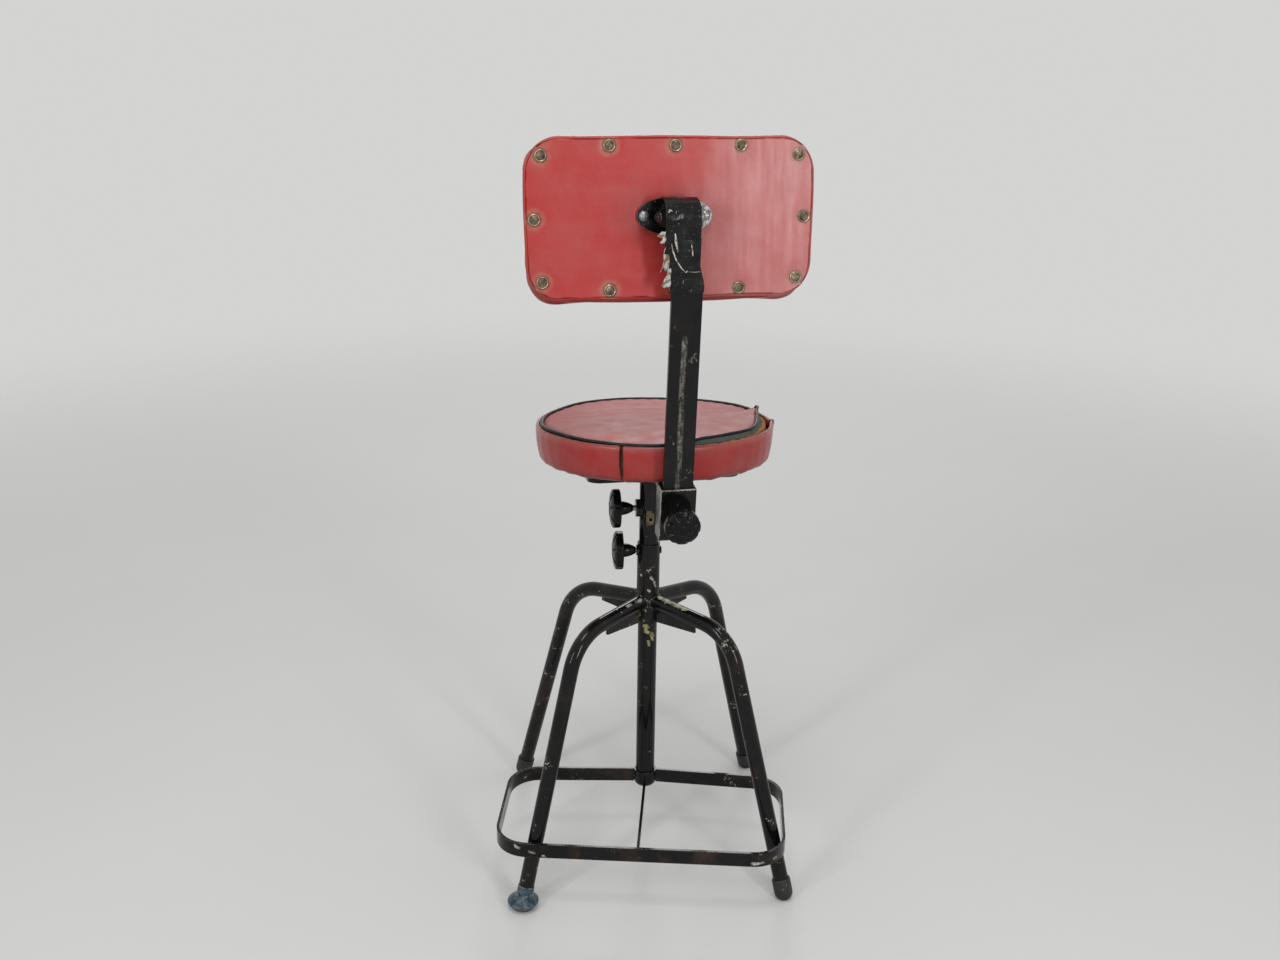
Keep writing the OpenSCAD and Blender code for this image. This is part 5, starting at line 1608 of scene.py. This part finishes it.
class STOOL_OT_stage(bpy.types.Operator):
    """Lay the pale floor, hang the soft lamps and set the camera"""

    bl_idname = "stool.stage"
    bl_label = "Stage"

    def execute(self, context):
        scene = context.scene
        scene.view_settings.view_transform = "Standard"
        self.camera(scene)
        self.floor()
        self.world(scene)
        for lamp in LAMPS:
            self.lamp(*lamp)
        return {"FINISHED"}

    @staticmethod
    def camera(scene):
        lens = bpy.data.cameras.new("camera")
        lens.sensor_fit = "HORIZONTAL"
        lens.sensor_width = SENSOR
        lens.lens = LENS
        lens.clip_start = 0.05
        lens.clip_end = 60.0
        camera = bpy.data.objects.new("camera", lens)
        scene.collection.objects.link(camera)
        scene.camera = camera
        turned = Matrix((Vector(CAMERA_RIGHT), Vector(CAMERA_UP), -Vector(CAMERA_AHEAD))).transposed()
        camera.matrix_world = Matrix.Translation(CAMERA_PLACE) @ turned.to_4x4()

    @staticmethod
    def floor():
        bm = bmesh.new()
        bmesh.ops.create_grid(bm, x_segments=1, y_segments=1, size=9.0)
        mat = Recipe("pale_floor")
        rays = mat.add("ShaderNodeLightPath")
        seen = mat.most(rays.outputs["Is Camera Ray"], rays.outputs["Is Glossy Ray"])
        tone = mat.noise(2.0, 6, 0.6)
        colour_seen = mat.mix(tone, (0.70, 0.70, 0.69), (0.74, 0.74, 0.73))
        mat.surface(Base_Color=mat.mix(seen, (0.38, 0.38, 0.37), colour_seen), Roughness=0.95)
        distance = mat.vector("LENGTH", mat.place())["Value"]
        fade = mat.add("ShaderNodeMapRange", {
            "Value": distance, "From Min": 1.1, "From Max": 4.2, "To Min": 0.0, "To Max": 1.0,
        }, interpolation_type="SMOOTHSTEP").outputs[0]
        blend = mat.add("ShaderNodeMixShader", {0: fade, 1: mat.shader.outputs[0]})
        mat.tree.links.new(mat.add("ShaderNodeBsdfTransparent").outputs[0], blend.inputs[2])
        mat.tree.links.new(blend.outputs[0], mat.tree.nodes["Material Output"].inputs["Surface"])
        piece_of("floor", bm, mat.material)

    @staticmethod
    def world(scene):
        world = bpy.data.worlds.new("soft_room")
        world.use_nodes = True
        scene.world = world
        nodes, links = world.node_tree.nodes, world.node_tree.links
        background = nodes["Background"]
        background.inputs["Color"].default_value = (0.82, 0.82, 0.81, 1)
        rays = nodes.new("ShaderNodeLightPath")
        lit = nodes.new("ShaderNodeMath")
        lit.operation = "MAXIMUM"
        links.new(rays.outputs["Is Camera Ray"], lit.inputs[0])
        links.new(rays.outputs["Is Glossy Ray"], lit.inputs[1])
        strength = nodes.new("ShaderNodeMapRange")
        strength.inputs["To Min"].default_value = 0.62
        strength.inputs["To Max"].default_value = 0.80
        links.new(lit.outputs[0], strength.inputs["Value"])
        links.new(strength.outputs[0], background.inputs["Strength"])

    @staticmethod
    def lamp(name, at, towards, size, power):
        light = bpy.data.lights.new(name, "AREA")
        light.shape = "RECTANGLE"
        light.size, light.size_y = size
        light.energy = power
        lamp = bpy.data.objects.new(name, light)
        bpy.context.scene.collection.objects.link(lamp)
        aim = (Vector(towards) - Vector(at)).to_track_quat("-Z", "Y")
        lamp.matrix_world = Matrix.Translation(at) @ aim.to_matrix().to_4x4()


class STOOL_PT_panel(bpy.types.Panel):
    """The stool's pieces, in the order in which they are made."""

    bl_idname = "STOOL_PT_panel"
    bl_label = "Work Stool"
    bl_space_type = "VIEW_3D"
    bl_region_type = "UI"
    bl_category = "Stool"

    def draw(self, context):
        for operator in OPERATORS:
            self.layout.operator(operator.bl_idname)
        for group, pointer in GROUPS.items():
            box = self.layout.box()
            for name in group.__annotations__:
                box.prop(getattr(context.scene, pointer), name)


GROUPS = {
    StoolSeatSizes: "stool_seat",
    StoolBackSizes: "stool_back",
    StoolKnobSizes: "stool_knob",
    StoolFinishColours: "stool_colours",
}
OPERATORS = (
    STOOL_OT_stage,
    STOOL_OT_frame_finishes,
    STOOL_OT_welds,
    STOOL_OT_knobs,
    STOOL_OT_seat_filling,
    STOOL_OT_seat_cover,
    STOOL_OT_seat_band,
    STOOL_OT_seat_welt,
    STOOL_OT_back_cushion,
    STOOL_OT_back_panel,
    STOOL_OT_back_screws,
    STOOL_OT_tape,
)


def register():
    for group, name in GROUPS.items():
        bpy.utils.register_class(group)
        setattr(bpy.types.Scene, name, PointerProperty(type=group))
    for item in (*OPERATORS, STOOL_PT_panel):
        bpy.utils.register_class(item)


def unregister():
    for item in (STOOL_PT_panel, *reversed(OPERATORS)):
        bpy.utils.unregister_class(item)
    for group, name in GROUPS.items():
        delattr(bpy.types.Scene, name)
        bpy.utils.unregister_class(group)


def main():
    register()
    bpy.ops.stool.stage()
    bpy.ops.stool.frame_finishes()
    bpy.ops.stool.welds()
    bpy.ops.stool.knobs()
    bpy.ops.stool.seat_filling()
    bpy.ops.stool.seat_cover()
    bpy.ops.stool.seat_band()
    bpy.ops.stool.seat_welt()
    bpy.ops.stool.back_cushion()
    bpy.ops.stool.back_panel()
    bpy.ops.stool.back_screws()
    bpy.ops.stool.tape()


if __name__ == "__main__":
    main()
